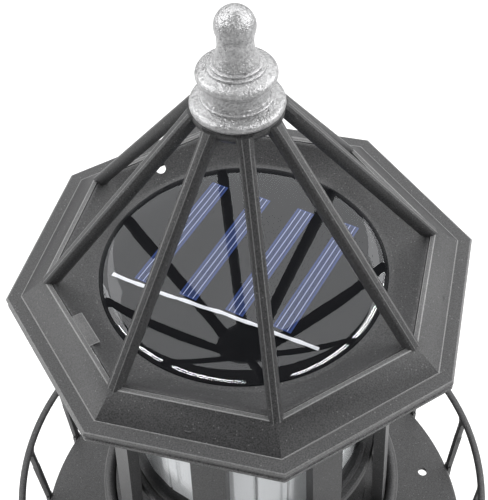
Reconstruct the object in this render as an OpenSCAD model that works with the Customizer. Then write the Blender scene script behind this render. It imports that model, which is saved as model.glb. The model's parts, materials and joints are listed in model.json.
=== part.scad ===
// Garden lighthouse ornament with a solar roof and a slow rotating beacon.
// Millimetres, +Z up, origin on the ground under the tower's axis.
// Roof, lantern and gallery heights are measured from the underside of the eave.

/* [Overall] */
// Height from the ground to the top of the finial
total_h = 650; // [648:1:660]

/* [Roof] */
// Circumradius of the octagonal eave
eave_r = 78; // [77.6:0.1:79]
// Width of each roof rib
rib_w = 4.4; // [4:0.1:5]
// Radius of the hub that the ribs meet in
hub_r = 13.3; // [12.5:0.1:14]
// Radius of the solar disc
solar_r = 47.7; // [47:0.1:48]

/* [Lantern] */
// Width of a lantern post's outer face
post_w = 12; // [10:0.5:13]
// Radius to the outer face of the beacon's slats
drum_r = 43.6; // [42:0.2:43.8]
// Number of slats round the beacon
slat_count = 24; // [20:1:26]

/* [Gallery] */
// Radius of the gallery deck
deck_r = 94.2; // [94:0.1:95]
// Outer radius of the parapet ring
parapet_r = 62.4; // [62:0.1:63]
// Number of railing posts
rail_posts = 18; // [16:1:20]

/* [Tower] */
// Outer radius of the tower where it meets the plinth
tower_foot_r = 62; // [60:0.5:64]
// Outer radius of the tower under the corbel
tower_head_r = 51; // [50.5:0.5:52]
// Outer radius of the plinth
plinth_r = 97; // [95:0.5:98]

/* [Hidden] */
$fn = 64;

// Colours
plastic_c = "#4a4b4d";
white_c = "#d9dadb";
silver_c = "#b4b5b7";
steel_c = "#9a9c9f";
brass_c = "#b08d4a";
rubber_c = "#1c1c1d";
nylon_c = "#e6e3d8";

// Finial, heights from the eave
finial_foot_z = 70.4;
ball_r = 5.73;
ball_z = 96.7;
finial_top = ball_z + ball_r;
eave_z = total_h - finial_top;
spigot_r = 3;
spigot_l = 7;

// Eave, rim and ribs (octagon radii are circumradii)
sides = 8;
side_angle = 360 / sides;
crease_r = 72.9;
rim_out_r = 64.6;
rim_in_r = 63;
edge_h = 1.5;
rim_h = 8.2;
rib_depth = 4.4;
rib_round_r = 2.6;
rib_rise = atan2(71 - rim_h, rim_out_r - 13.5);
rib_len = 90;
boss_apothem = 63.2;
boss_angles = [for (i = [0:3]) 67.5 + 90 * i];
slot_angles = [for (i = [0:3]) 22.5 + 90 * i];
tab_angle = 202.5;
tab_reach = 1.9;
tab_w = 14;
tab_z = 7;

// Solar tray and panel
tray_r = rim_in_r - 0.25;
tray_edge_z = 7.4;
ramp_land = 0.5;
ramp_foot_r = (solar_r + 0.8) / cos(180 / sides);
tray_floor_z = 1;
disc_z = 2.9;
land_z = 1.4;
dome_top = 6.8;
dome_curve = 550;
drain_angle = 115;
drain_r = 2.1;
drain_pos = 54.3;
cell_l = 51;
cell_w = 6.3;
cell_pitch = 16.4;
cell_stagger = 1.2;
cell_angle = 52.5;
cells_at = [2.7, 5.65];
cell_z = 2.3;
cell_t = 0.15;
ribbon_l = 73.3;
ribbon_w = 1;
ribbon_angle = -33.7;
ribbon_at = [-12.6, -17];

// Soffit
soffit_z = -2.7;
groove_z = -1.3;
groove_depth = 1;

// Lantern cage
cage_in_r = 46.2;
post_t = 4.3;
post_lean = 3;
cage_bottom_z = -134;
cage_floor_z = -130;
cage_floor_t = 3;
cage_foot_r = 57.2;
tube_out_r = 45.9;
tube_in_r = 44.9;
sill_z = -90;
sill_t = 4;
sill_r = 50;
lip_h = 2;

// Beacon
drum_top_z = -4;
drum_bottom_z = -86;
slat_t = 1.4;
slat_gap = 1;
slat_w = 2 * drum_r * tan(180 / slat_count) - slat_gap;
ring_t = 2.5;
spindle_r = 5;
lamp_z = -45;
lamp_r = 2.5;
lamp_l = 5.5;
collar_half = 8;
lamp_collar_r = 7.5;
lamp_seat_r = 5.4;
boss_foot_z = -88.7;
boss_out_r = 8.5;
column_r = 3;
column_bore_r = 1.9;
run_gap = 0.06;

// Gear train: the drum's gear, the compound idler and the motor's pinion
pressure_angle = 25;
drum_module = 0.8;
drum_teeth = 36;
idler_small_teeth = 12;
motor_module = 0.6;
idler_large_teeth = 36;
motor_teeth = 12;
idler_dist = drum_module * (drum_teeth + idler_small_teeth) / 2;
motor_dist = motor_module * (idler_large_teeth + motor_teeth) / 2;
idler_angle = 90;
motor_angle = 170;
idler_xy = idler_dist * [cos(idler_angle), sin(idler_angle)];
motor_xy = idler_xy + motor_dist * [cos(motor_angle), sin(motor_angle)];
drum_gear_z = -101.5;
motor_gear_z = -106.5;
gear_t = 3;
plate_z = -112;
plate_t = 2.4;
motor_r = 10;
motor_h = 22;
shaft_r = 1;
pin_r = 1.5;

// Lamp base and its floor
base_r = 42;
base_in_r = 39.6;
base_bottom_z = -155;
flange_z = cage_floor_z + cage_floor_t;
flange_t = 2.6;
flange_r = 49;
cage_boss_h = 7;
bush_foot_z = -97;
bush_r = spindle_r + 2;
bush_head_t = 1;
floor_t = 3.2;
gasket_t = 0.8;
floor_top_z = base_bottom_z - gasket_t;
floor_bottom_z = floor_top_z - floor_t;
boss_r = 3;
pilot_r = 1.1;
screw_r = 1.1;
head_r = 2.4;
head_h = 1.6;
roof_screw_l = 5.4;
gear_screw_l = 10;
cage_screw_l = 8;
floor_screw_l = 12;
cover_screw_l = 5.6;
base_screw_l = 6.5;
deck_screw_l = 9;
plate_boss_angles = [60, 180, 300];
plate_boss_at = 34;
floor_boss_angles = [45, 135, 225, 315];
floor_boss_at = 37.2;
cage_boss_angles = [0, 90, 180, 270];
cage_boss_at = 46;

// Battery box, cover and switch
window_l = 57;
window_w = 31;
cover_l = 66;
cover_w = 39;
cover_t = 1.8;
seal_t = 0.8;
cell_radius = 7.1;
cell_body_l = 48.6;
cell_nub_l = 1.4;
cell_y = 7.7;
cell_axis_z = -147.6;
box_top_z = -138.6;
cover_screw_x = 31.2;
switch_y = -27;
switch_travel = 4;

// Gallery and railing
deck_z = -167.7;
deck_t = 5;
parapet_top = -125;
parapet_t = 4.7;
parapet_in_r = parapet_r - parapet_t;
ledge_z = cage_bottom_z;
ledge_in_r = 51;
deck_hole_r = 46;
deck_drain_r = 2.05;
deck_drain_at = deck_r - 11.8;
drain_skin = 2;
drain_relief = 2.5;
rim_t = 5.5;
collar_h = 4;
collar_r = 49;
collar_pilot_at = (collar_r + deck_hole_r) / 2;
deck_boss_at = 60;
first_post = 5.4;
post_pitch = 360 / rail_posts;
rail_reach = 2.9;
hoop_r = deck_r + rail_reach;
hoop_bar = 1.5;
hoop_z = -128.5;
strut_t = 2.6;
strut_out_r = hoop_r - 0.5;
arch_r = 18;
hoop_web = 3.5;
rail_gap = 2 * hoop_r * sin(post_pitch / 2) - strut_t;
spring_drop = 0.5;
spring_z = hoop_z - hoop_web - arch_r + sqrt(arch_r * arch_r - rail_gap * rail_gap / 4) - spring_drop;
strut_foot_z = deck_z + 3;
strut_in_r = strut_out_r - strut_t + 0.5;
foot_t = 1.6;
foot_h = 8.5;
post_in_r = deck_r + 0.3;
rim_in = post_in_r - rim_t;
foot_out_r = post_in_r + foot_t - 0.2;
band_z = -176;

// Corbel and tower, heights from the ground
corbel_top_z = eave_z + deck_z - deck_t;
corbel_h = 33;
corbel_r = deck_r - 14.7;
corbel_edge = 4;
corbel_in_r = collar_r + 0.2;
fin_t = 3;
fin_inset = 3;
wall_t = 2.5;
joint_l = 6;
joint_gap = 0.15;
plinth_bottom_z = 3;
plinth_top_z = 34;
section_count = 4;
tower_h = corbel_top_z - corbel_h - plinth_top_z;
section_h = tower_h / section_count;
joint_taper = joint_l * (tower_foot_r - tower_head_r) / tower_h;
window_size = [12, 20];
door_size = [26, 46];
ballast_h = 14;
ballast_z = 6.2;
base_boss_at = plinth_r - 11.5;
ballast_r = plinth_r - 19;
ballast_in_r = 24;
pad_out_r = plinth_r - 17;
pad_w = 18;
step_size = [34, 26, 5];
step_z = 29;
plug_r = 11;

// ---------- helpers ----------

function arc(c, r, a0, a1, n) =
    [for (i = [0:n]) c + r * [cos(a0 + (a1 - a0) * i / n), sin(a0 + (a1 - a0) * i / n)]];

function tower_r(z) =
    tower_foot_r + (tower_head_r - tower_foot_r) * (z - plinth_top_z) / tower_h;

module at_eave() {
    translate([0, 0, eave_z]) children();
}

module polar(angle, r, z = 0) {
    rotate([0, 0, angle]) translate([r, 0, z]) children();
}

module disc(r, z0, z1) {
    translate([0, 0, z0]) cylinder(r = r, h = z1 - z0);
}

module tube(r_out, r_in, z0, z1) {
    difference() {
        disc(r_out, z0, z1);
        disc(r_in, z0 - 1, z1 + 1);
    }
}

module lathe(points) {
    rotate_extrude($fn = 96) polygon(points);
}

module octagon_lathe(points) {
    rotate_extrude($fn = sides) polygon(points);
}

module octagon(r, z0, z1) {
    translate([0, 0, z0]) cylinder(r = r, h = z1 - z0, $fn = sides);
}

module box(size, at) {
    translate([at[0] - size[0] / 2, at[1] - size[1] / 2, at[2]]) cube(size);
}

// A screw that points up, with its head's underside at z
module screw_up(z, l) {
    disc(screw_r, z, z + l);
    difference() {
        disc(head_r, z - head_h, z);
        box([2.6, 0.7, 0.8], [0, 0, z - head_h - 0.01]);
        box([0.7, 2.6, 0.8], [0, 0, z - head_h - 0.01]);
    }
}

// Angle of an involute's point at radius r, from its start on the base circle
function involute(base, r) =
    let (t = sqrt(max(0, pow(r / base, 2) - 1)))
    t * 180 / PI - atan(t);

// Outline of a spur gear with a tooth centred on +X, with slimmed flanks for backlash
function gear_points(m, teeth) =
    let (
        pitch = m * teeth / 2,
        base = pitch * cos(pressure_angle),
        tip = pitch + 0.8 * m,
        root = pitch - 1.1 * m,
        start = max(base, root),
        slack = 0.07 * m / pitch * 180 / PI,
        half_pitch = 90 / teeth - slack + involute(base, pitch)
    )
    [for (k = [0:teeth - 1], side = [-1, 1], i = [0:4])
        let (
            step = side < 0 ? i : 4 - i,
            r = step == 0 ? root : start + (tip - start) * (step - 1) / 3,
            a = 360 * k / teeth + side * (half_pitch - involute(base, r))
        )
        r * [cos(a), sin(a)]];

module gear(m, teeth, z, t) {
    translate([0, 0, z]) linear_extrude(t) polygon(gear_points(m, teeth));
}

// A round-headed opening, upright, centred on its sill's middle
module arch_2d(w, h) {
    translate([-w / 2, 0]) square([w, h - w / 2]);
    translate([0, h - w / 2]) circle(r = w / 2);
}

// Stands an upright 2D outline against the tower, facing outwards at an azimuth
module facing(angle, r, z, depth) {
    rotate([0, 0, angle + 90]) translate([0, -r, z]) rotate([90, 0, 0])
        linear_extrude(depth) children();
}

// ---------- roof ----------

finial_outline = concat(
    [[0, finial_foot_z], [13.6, 70.4], [13.6, 71.4], [12.9, 72.6], [11.8, 73.4], [10.3, 73.8]],
    arc([9.75, 74.4], 0.6, -60, 80, 4),
    [[9.25, 75.4], [9.1, 76.4], [9.25, 78.2], [9.7, 80], [10.9, 80.6]],
    arc([10.2, 82], 1.2, -50, 75, 4),
    [[8.9, 84.1], [7.25, 84.4], [7.25, 85.2], [6.5, 85.4], [6.5, 86.4], [5.9, 87.2], [5.3, 89], [5, 91.3]],
    [[5.2, 93.4], [0, 94]]
);

module finial() {
    color(silver_c) at_eave() {
        lathe(finial_outline);
        translate([0, 0, ball_z]) sphere(r = ball_r);
        disc(spigot_r, finial_foot_z - spigot_l, finial_foot_z + 1);
    }
}

eave_outline = [
    [rim_in_r, edge_h], [rim_in_r, rim_h - 0.3], [rim_in_r + 0.3, rim_h], [rim_out_r - 0.2, rim_h],
    [rim_out_r, rim_h - 0.15], [crease_r, edge_h + 0.1], [crease_r + 0.3, edge_h],
    [eave_r - 0.6, edge_h], [eave_r - 0.15, edge_h - 0.4], [eave_r, edge_h - 1], [eave_r, 0],
    [71.6, 0], [65.4, 5], [65.4, edge_h]
];

module rib_2d() {
    intersection() {
        translate([-rib_depth, -rib_w / 2]) square([rib_depth, rib_w]);
        translate([-rib_round_r, 0]) circle(r = rib_round_r);
    }
}

module roof_ribs() {
    intersection() {
        for (i = [0:sides - 1]) {
            polar(side_angle * i, rim_out_r, rim_h) rotate([0, rib_rise - 90, 0])
                translate([0, 0, -5]) linear_extrude(rib_len) rib_2d();
        }
        difference() {
            disc(rim_out_r + 1, rim_h - 0.1, finial_foot_z);
            disc(5, 0, 63);
        }
    }
}

module roof_cage() {
    color(plastic_c) at_eave() difference() {
        union() {
            octagon_lathe(eave_outline);
            roof_ribs();
            lathe([[0, 62], [6, 62], [10.6, 66.6], [hub_r, 68.4], [hub_r, 69.9], [hub_r - 0.5, finial_foot_z],
                [0, finial_foot_z]]);
            for (a = boss_angles) {
                polar(a, boss_apothem) disc(2.6, 0, 3.4);
            }
            polar(tab_angle, 58.5 - tab_reach / 2, tab_z)
                translate([-tab_reach / 2, -tab_w / 2, 0]) cube([tab_reach + 1, tab_w, rim_h - tab_z]);
        }
        disc(spigot_r + 0.05, finial_foot_z - spigot_l - 0.5, finial_foot_z + 1);
        for (a = boss_angles) {
            polar(a, boss_apothem) disc(pilot_r, -1, 3);
        }
    }
}

module solar_tray() {
    color(plastic_c) at_eave() difference() {
        octagon(tray_r, 0, tray_edge_z);
        octagon_lathe([[0, land_z], [ramp_foot_r, land_z], [tray_r - ramp_land, tray_edge_z],
            [tray_r - ramp_land, tray_edge_z + 1], [0, tray_edge_z + 1]]);
        disc(solar_r + 0.2, tray_floor_z, tray_edge_z);
        lathe([[ramp_foot_r + 1, -1], [ramp_foot_r + 1, land_z - 1.2], [60, 4.4], [70, 4.4], [70, -1]]);
        polar(drain_angle, drain_pos) rotate(side_angle) {
            disc(drain_r, -1, tray_edge_z + 1);
            disc(drain_r * 2, -1, land_z - 1.2);
        }
        polar(tab_angle, 57.5, tab_z - 0.3) translate([-3, -tab_w / 2 - 0.4, 0]) cube([6, tab_w + 0.8, 3]);
        disc(2.4, -1, tray_floor_z + 1);
    }
}

module solar_backing() {
    color("#111214") at_eave() tube(solar_r, 2.2, tray_floor_z, cell_z);
}

module cell_frame() {
    translate(cells_at) rotate(cell_angle) children();
}

module solar_cells() {
    color("#1d2a4a") at_eave() cell_frame() {
        for (i = [-1.5:1:1.5]) {
            box([cell_l, cell_w, cell_t], [-i * cell_stagger, i * cell_pitch, cell_z]);
        }
    }
}

module cell_ribbon() {
    color(silver_c) at_eave() translate([ribbon_at[0], ribbon_at[1], 0]) rotate(ribbon_angle)
        box([ribbon_l, ribbon_w, cell_t], [0, 0, cell_z + 2 * cell_t]);
}

module solar_dome() {
    base_z = cell_z + 3 * cell_t;
    skirt_r = solar_r - 1;
    color("#3a4050", 0.5) at_eave() lathe(concat(
        [[skirt_r, base_z], [skirt_r, cell_z], [solar_r, cell_z]],
        [[solar_r, disc_z], [solar_r - 0.5, disc_z + 0.6], [solar_r - 1.4, disc_z + 1.2],
            [solar_r - 2.8, disc_z + 1.64], [solar_r - 4.7, disc_z + 2.02], [solar_r - 7.7, disc_z + 2.4]],
        [for (r = [36:-6:0]) [r, dome_top - r * r / (2 * dome_curve)]],
        [[0, base_z]]
    ));
}

module soffit_plate() {
    color(plastic_c) at_eave() difference() {
        union() {
            octagon(eave_r, soffit_z, groove_z);
            octagon(eave_r - groove_depth, groove_z - 0.01, 0);
        }
        disc(column_r + 0.05, soffit_z - 1, 1);
        for (a = boss_angles) {
            polar(a, boss_apothem) disc(screw_r + 0.1, soffit_z - 1, 1);
        }
        for (a = slot_angles) {
            polar(a, 60) box([9, 16, 6], [0, 0, soffit_z - 1]);
        }
    }
}

module roof_screws() {
    color(steel_c) at_eave() {
        for (a = boss_angles) {
            polar(a, boss_apothem) screw_up(soffit_z, roof_screw_l);
        }
    }
}

// ---------- lantern ----------

module lantern_posts() {
    foot_drop = soffit_z - cage_bottom_z;
    for (i = [0:sides - 1]) {
        polar(side_angle * (i + 0.5), cage_in_r + foot_drop * tan(post_lean), cage_bottom_z)
            rotate([0, -post_lean, 0]) translate([0, -post_w / 2, -2])
                cube([post_t, post_w, foot_drop + 6]);
    }
}

module lantern_cage() {
    color(plastic_c) at_eave() difference() {
        union() {
            tube(52.5, cage_in_r, soffit_z - 3, soffit_z);
            intersection() {
                lantern_posts();
                disc(cage_foot_r, cage_bottom_z, soffit_z);
            }
            tube(cage_foot_r, 52.4, cage_bottom_z, cage_floor_z + cage_floor_t + 1);
            tube(53, base_r + 0.5, cage_floor_z, cage_floor_z + cage_floor_t);
        }
        for (a = cage_boss_angles) {
            polar(a, cage_boss_at) disc(screw_r + 0.1, cage_floor_z - 1, cage_floor_z + cage_floor_t + 1);
        }
    }
}

module lens_tube() {
    color("#e8eef0", 0.3) at_eave() tube(tube_out_r, tube_in_r, sill_z, soffit_z - 0.2);
}

module beacon_drum() {
    color(white_c) at_eave() difference() {
        union() {
            for (i = [0:slat_count - 1]) {
                polar(360 / slat_count * (i + 0.5) - 4.5, drum_r - slat_t / 2)
                    box([slat_t, slat_w, drum_top_z - drum_bottom_z - 1], [0, 0, drum_bottom_z + 1]);
            }
            tube(drum_r - 0.6, drum_r - slat_t - ring_t, drum_top_z - ring_t - 0.5, drum_top_z - 0.5);
            disc(drum_r - 0.6, drum_bottom_z, drum_bottom_z + 2);
            disc(boss_out_r, boss_foot_z, drum_bottom_z + 6);
        }
        disc(spindle_r + 0.02, boss_foot_z - 1, drum_bottom_z + 5);
        disc(column_r + 1, boss_foot_z - 1, drum_bottom_z + 10);
    }
}

module beacon_spindle() {
    color(steel_c) at_eave()
        tube(spindle_r, column_r + run_gap, drum_gear_z - 1, drum_bottom_z + 4.8);
}

module drive_gear() {
    color(nylon_c) at_eave() difference() {
        union() {
            gear(drum_module, drum_teeth, drum_gear_z, gear_t);
            disc(8, drum_gear_z, drum_gear_z + gear_t + 0.8);
        }
        disc(spindle_r + 0.02, drum_gear_z - 1, drum_gear_z + gear_t + 2);
    }
}

module spindle_bush() {
    color(brass_c) at_eave() difference() {
        union() {
            disc(bush_r, bush_foot_z, sill_z);
            disc(bush_r + 2.2, sill_z, sill_z + bush_head_t);
        }
        disc(spindle_r + run_gap, bush_foot_z - 1, sill_z + 2);
    }
}

module compound_gear() {
    color(nylon_c) at_eave() translate([idler_xy[0], idler_xy[1], 0]) difference() {
        union() {
            rotate(idler_angle + 180 + 180 / idler_small_teeth)
                gear(drum_module, idler_small_teeth, motor_gear_z + 1, drum_gear_z + gear_t - motor_gear_z - 1);
            rotate(motor_angle) gear(motor_module, idler_large_teeth, motor_gear_z, gear_t);
            disc(3, motor_gear_z - 0.8, motor_gear_z + 1);
        }
        disc(pin_r + run_gap, motor_gear_z - 2, drum_gear_z + gear_t + 1);
    }
}

module idler_pin() {
    color(steel_c) at_eave() translate([idler_xy[0], idler_xy[1], 0]) {
        disc(pin_r, plate_z, drum_gear_z + gear_t + 1.5);
        disc(pin_r + 1, drum_gear_z + gear_t + 0.4, drum_gear_z + gear_t + 1.2);
    }
}

module motor_pinion() {
    color(brass_c) at_eave() translate([motor_xy[0], motor_xy[1], 0]) difference() {
        rotate(motor_angle + 180 + 180 / motor_teeth)
            gear(motor_module, motor_teeth, motor_gear_z, gear_t);
        disc(shaft_r + 0.01, motor_gear_z - 1, motor_gear_z + gear_t + 1);
    }
}

module motor_shaft() {
    color(steel_c) at_eave() translate([motor_xy[0], motor_xy[1], 0])
        disc(shaft_r, plate_z - motor_h + 2, motor_gear_z + gear_t + 0.5);
}

module beacon_motor() {
    color(steel_c) at_eave() translate([motor_xy[0], motor_xy[1], 0]) difference() {
        union() {
            disc(motor_r, plate_z - motor_h, plate_z);
            disc(3, plate_z - 1, plate_z + 1.6);
        }
        disc(shaft_r + run_gap, plate_z - motor_h + 1.5, plate_z + 2);
    }
}

module gearbox_plate() {
    color(nylon_c) at_eave() difference() {
        union() {
            disc(base_in_r - 0.3, plate_z, plate_z + plate_t);
            disc(6, plate_z, plate_z + 5);
        }
        disc(column_r + 0.02, plate_z - 1, plate_z + 10);
        translate([idler_xy[0], idler_xy[1], 0]) disc(pin_r + 0.01, plate_z - 1, plate_z + plate_t + 1);
        translate([motor_xy[0], motor_xy[1], 0]) disc(3.1, plate_z - 1, plate_z + plate_t + 1);
        for (a = plate_boss_angles) {
            polar(a, plate_boss_at) disc(screw_r + 0.1, plate_z - 1, plate_z + plate_t + 1);
        }
        box([14, 8, 6], [16, -14, plate_z - 1]);
    }
}

module gearbox_screws() {
    color(steel_c) at_eave() {
        for (a = plate_boss_angles) {
            polar(a, plate_boss_at) screw_up(plate_z, gear_screw_l);
        }
    }
}

module lamp_column() {
    color(steel_c) at_eave() tube(column_r, column_bore_r, plate_z, 0);
}

module led_collar() {
    color(white_c) at_eave() difference() {
        disc(lamp_collar_r, lamp_z - collar_half, lamp_z + collar_half);
        disc(column_r + 0.02, lamp_z - collar_half - 1, lamp_z + collar_half + 1);
        for (a = [0, 90, 180, 270]) {
            polar(a, lamp_seat_r, lamp_z) rotate([0, 90, 0]) cylinder(r = lamp_r + run_gap, h = 4);
        }
    }
}

module led_lamps() {
    color("#fff4d0", 0.7) at_eave() {
        for (a = [0, 90, 180, 270]) {
            polar(a, lamp_seat_r + 0.1, lamp_z) rotate([0, 90, 0]) {
                cylinder(r = lamp_r, h = lamp_l);
                translate([0, 0, lamp_l]) sphere(r = lamp_r);
            }
        }
    }
}

lamp_base_outline = [
    [base_in_r, base_bottom_z], [base_r, base_bottom_z], [base_r, flange_z], [flange_r, flange_z],
    [flange_r, flange_z + flange_t], [base_r, flange_z + flange_t], [base_r, sill_z - sill_t - 2], [45, sill_z - sill_t], [sill_r - 0.5, sill_z - sill_t],
    [sill_r, sill_z - sill_t + 0.5], [sill_r, sill_z - 0.6], [sill_r - 0.6, sill_z], [47.4, sill_z],
    [47.4, sill_z + lip_h], [tube_out_r + 0.05, sill_z + lip_h], [tube_out_r + 0.05, sill_z],
    [bush_r + 0.02, sill_z], [bush_r + 0.02, bush_foot_z],
    [bush_r + 3, bush_foot_z], [bush_r + 3, sill_z - sill_t], [base_in_r, sill_z - sill_t]
];

module lamp_base() {
    color(plastic_c) at_eave() difference() {
        union() {
            lathe(lamp_base_outline);
            for (a = plate_boss_angles) {
                polar(a, plate_boss_at) disc(boss_r, plate_z + plate_t, sill_z - sill_t + 0.5);
            }
            for (a = floor_boss_angles) {
                polar(a, floor_boss_at) disc(boss_r, base_bottom_z, base_bottom_z + 16);
            }
            for (a = cage_boss_angles) {
                polar(a, cage_boss_at) disc(2.6, flange_z + 2, flange_z + cage_boss_h);
            }
        }
        for (a = plate_boss_angles) {
            polar(a, plate_boss_at) disc(pilot_r, plate_z, sill_z - sill_t - 1);
        }
        for (a = floor_boss_angles) {
            polar(a, floor_boss_at) disc(pilot_r, base_bottom_z - 1, base_bottom_z + 12);
        }
        for (a = cage_boss_angles) {
            polar(a, cage_boss_at) disc(pilot_r, flange_z - 1, flange_z + cage_boss_h - 1);
        }
    }
}

module lamp_screws() {
    color(steel_c) at_eave() {
        for (a = cage_boss_angles) {
            polar(a, cage_boss_at) screw_up(cage_floor_z, cage_screw_l);
        }
        for (a = floor_boss_angles) {
            polar(a, floor_boss_at) screw_up(floor_bottom_z, floor_screw_l);
        }
    }
}

// ---------- electrics under the beacon ----------

module circuit_board() {
    color("#1f5a34") at_eave() box([1.6, 34, 22], [13, 0, plate_z - 22]);
}

module board_parts() {
    color("#202122") at_eave() {
        box([1.4, 8, 6], [14.5, -6, plate_z - 16]);
        box([1.2, 4, 3], [14.4, 6, plate_z - 12]);
        box([1.2, 4, 3], [14.4, 12, plate_z - 19]);
        translate([13.8, 6, plate_z - 18]) rotate([0, 90, 0]) cylinder(r = 3, h = 7);
    }
}

module battery_box() {
    color(rubber_c) at_eave() difference() {
        box([window_l + 3, window_w + 3, box_top_z - base_bottom_z], [0, 0, base_bottom_z]);
        box([window_l, window_w, box_top_z - base_bottom_z], [0, 0, base_bottom_z - 1.5]);
    }
}

module battery_cells() {
    color("#8c9196") at_eave() {
        for (s = [-1, 1]) {
            translate([-s * (cell_body_l + cell_nub_l) / 2, s * cell_y, cell_axis_z])
                rotate([0, s * 90, 0]) {
                    cylinder(r = cell_radius, h = cell_body_l);
                    translate([0, 0, cell_body_l]) cylinder(r = 2.6, h = cell_nub_l);
                }
        }
    }
}

module battery_contacts() {
    plate_x = window_l / 2 - 0.3;
    color(silver_c) at_eave() {
        for (s = [-1, 1]) {
            for (side = [-1, 1]) {
                box([0.5, 11, 11], [side * plate_x, s * cell_y, cell_axis_z - 5.5]);
            }
            for (k = [0:1]) {
                translate([-s * (plate_x - 1.05 - 0.95 * k), s * cell_y, cell_axis_z]) rotate([0, 90, 0])
                    rotate_extrude($fn = 32) translate([4.4 - k, 0]) circle(r = 0.5, $fn = 16);
            }
        }
    }
}

module floor_gasket() {
    color(rubber_c) at_eave() difference() {
        tube(base_r - 0.3, base_in_r, floor_top_z, base_bottom_z);
        for (a = floor_boss_angles) {
            polar(a, floor_boss_at) disc(boss_r + 0.2, floor_top_z - 1, base_bottom_z + 1);
        }
    }
}

module lamp_floor() {
    color(plastic_c) at_eave() difference() {
        union() {
            disc(base_r, floor_bottom_z, floor_top_z);
            disc(base_in_r - 0.2, floor_top_z - 0.1, base_bottom_z);
        }
        box([window_l, window_w, 10], [0, 0, floor_bottom_z - 1]);
        box([cover_l + 0.6, cover_w + 0.6, cover_t + seal_t + 1], [0, 0, floor_bottom_z - 1]);
        for (a = floor_boss_angles) {
            polar(a, floor_boss_at) disc(screw_r + 0.1, floor_bottom_z - 1, base_bottom_z + 1);
        }
        for (s = [-1, 1]) {
            translate([s * cover_screw_x, 0, 0]) disc(pilot_r + 0.1, floor_bottom_z - 1, base_bottom_z + 1);
        }
        box([10, 3.4, 8], [0, switch_y, floor_bottom_z - 1]);
    }
}

module switch_body() {
    color(rubber_c) at_eave() difference() {
        box([18, 8, 5.5], [0, switch_y, base_bottom_z]);
        box([10.4, 4, 4.3], [0, switch_y, base_bottom_z - 0.1]);
    }
}

module switch_slider() {
    color("#2c2c2e") at_eave() translate([-switch_travel / 2, 0, 0]) {
        box([5.6, 3.4, 3.6], [0, switch_y, base_bottom_z + 0.3]);
        box([4, 2.6, 6.6], [0, switch_y, floor_bottom_z - 1.6]);
    }
}

module cover_seal() {
    color(rubber_c) at_eave() difference() {
        box([cover_l, cover_w, seal_t], [0, 0, floor_bottom_z + cover_t]);
        box([window_l, window_w, 4], [0, 0, floor_bottom_z]);
        for (s = [-1, 1]) {
            translate([s * cover_screw_x, 0, 0]) disc(screw_r + 0.2, floor_bottom_z, base_bottom_z);
        }
    }
}

module battery_cover() {
    color(plastic_c) at_eave() difference() {
        box([cover_l, cover_w, cover_t], [0, 0, floor_bottom_z]);
        for (s = [-1, 1]) {
            translate([s * cover_screw_x, 0, 0]) disc(screw_r, floor_bottom_z - 1, base_bottom_z);
        }
        for (i = [-2:2]) {
            box([1.2, 16, 1], [i * 3, 0, floor_bottom_z - 0.5]);
        }
    }
}

module cover_screws() {
    color(steel_c) at_eave() {
        for (s = [-1, 1]) {
            translate([s * cover_screw_x, 0, 0]) screw_up(floor_bottom_z, cover_screw_l);
        }
    }
}

// ---------- gallery ----------

parapet_round = parapet_t / 2;
deck_outline = [
    [deck_hole_r, deck_z - deck_t - collar_h], [collar_r, deck_z - deck_t - collar_h],
    [collar_r, deck_z - deck_t], [rim_in, deck_z - deck_t], [rim_in, band_z],
    [post_in_r, band_z], [post_in_r, deck_z - deck_t],
    [deck_r, deck_z - deck_t + 0.6], [deck_r, deck_z - 1], [deck_r - 0.3, deck_z - 0.3],
    [deck_r - 1, deck_z], [deck_hole_r, deck_z]
];
parapet_outline = concat(
    arc([parapet_r + 3, deck_z + 3], 3, 270, 180, 4),
    arc([parapet_r - parapet_round, parapet_top - parapet_round], parapet_round, 0, 180, 10),
    [[parapet_in_r, ledge_z], [ledge_in_r, ledge_z], [ledge_in_r, ledge_z - 2],
        [parapet_in_r, ledge_z - 8], [parapet_in_r, deck_z]]
);

module gallery_deck() {
    color(plastic_c) at_eave() difference() {
        lathe(deck_outline);
        for (i = [0:3]) {
            polar(first_post + 90 * i, deck_drain_at) {
                disc(deck_drain_r, deck_z - deck_t - 1, deck_z + 1);
                disc(deck_drain_r + drain_relief, deck_z - deck_t - 1, deck_z - drain_skin);
            }
        }
        for (i = [0:3]) {
            polar(45 + 90 * i, collar_pilot_at) disc(1.3, deck_z - deck_t - 5, deck_z + 1);
        }
    }
}

module parapet() {
    color(plastic_c) at_eave() lathe(parapet_outline);
}

// Radii of the railing's wall at a height, at its outer and inner faces
function wall_out(z) =
    strut_out_r + (hoop_r + hoop_bar - 0.2 - strut_out_r) * (z - strut_foot_z) / (hoop_z - strut_foot_z);
function wall_in(z) =
    strut_in_r + (hoop_r - hoop_bar + 0.3 - strut_in_r) * (z - strut_foot_z) / (hoop_z - strut_foot_z);

module railing_hoop() {
    color(plastic_c) at_eave() {
        translate([0, 0, hoop_z]) rotate_extrude($fn = 96) translate([hoop_r, 0])
            circle(r = hoop_bar, $fn = 24);
        difference() {
            lathe([[wall_in(spring_z), spring_z], [wall_out(spring_z), spring_z],
                [wall_out(hoop_z), hoop_z], [wall_in(hoop_z), hoop_z]]);
            for (i = [0:rail_posts - 1]) {
                rail_arch(first_post + post_pitch * (i + 0.5));
            }
        }
    }
}

// The arched head of the opening between two railing posts
module rail_arch(angle) {
    polar(angle, deck_r - 4, hoop_z - hoop_web - arch_r) rotate([0, 90, 0]) intersection() {
        cylinder(r = arch_r, h = 12);
        translate([-arch_r, -rail_gap / 2, 0]) cube([2 * arch_r, rail_gap, 12]);
    }
}

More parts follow.
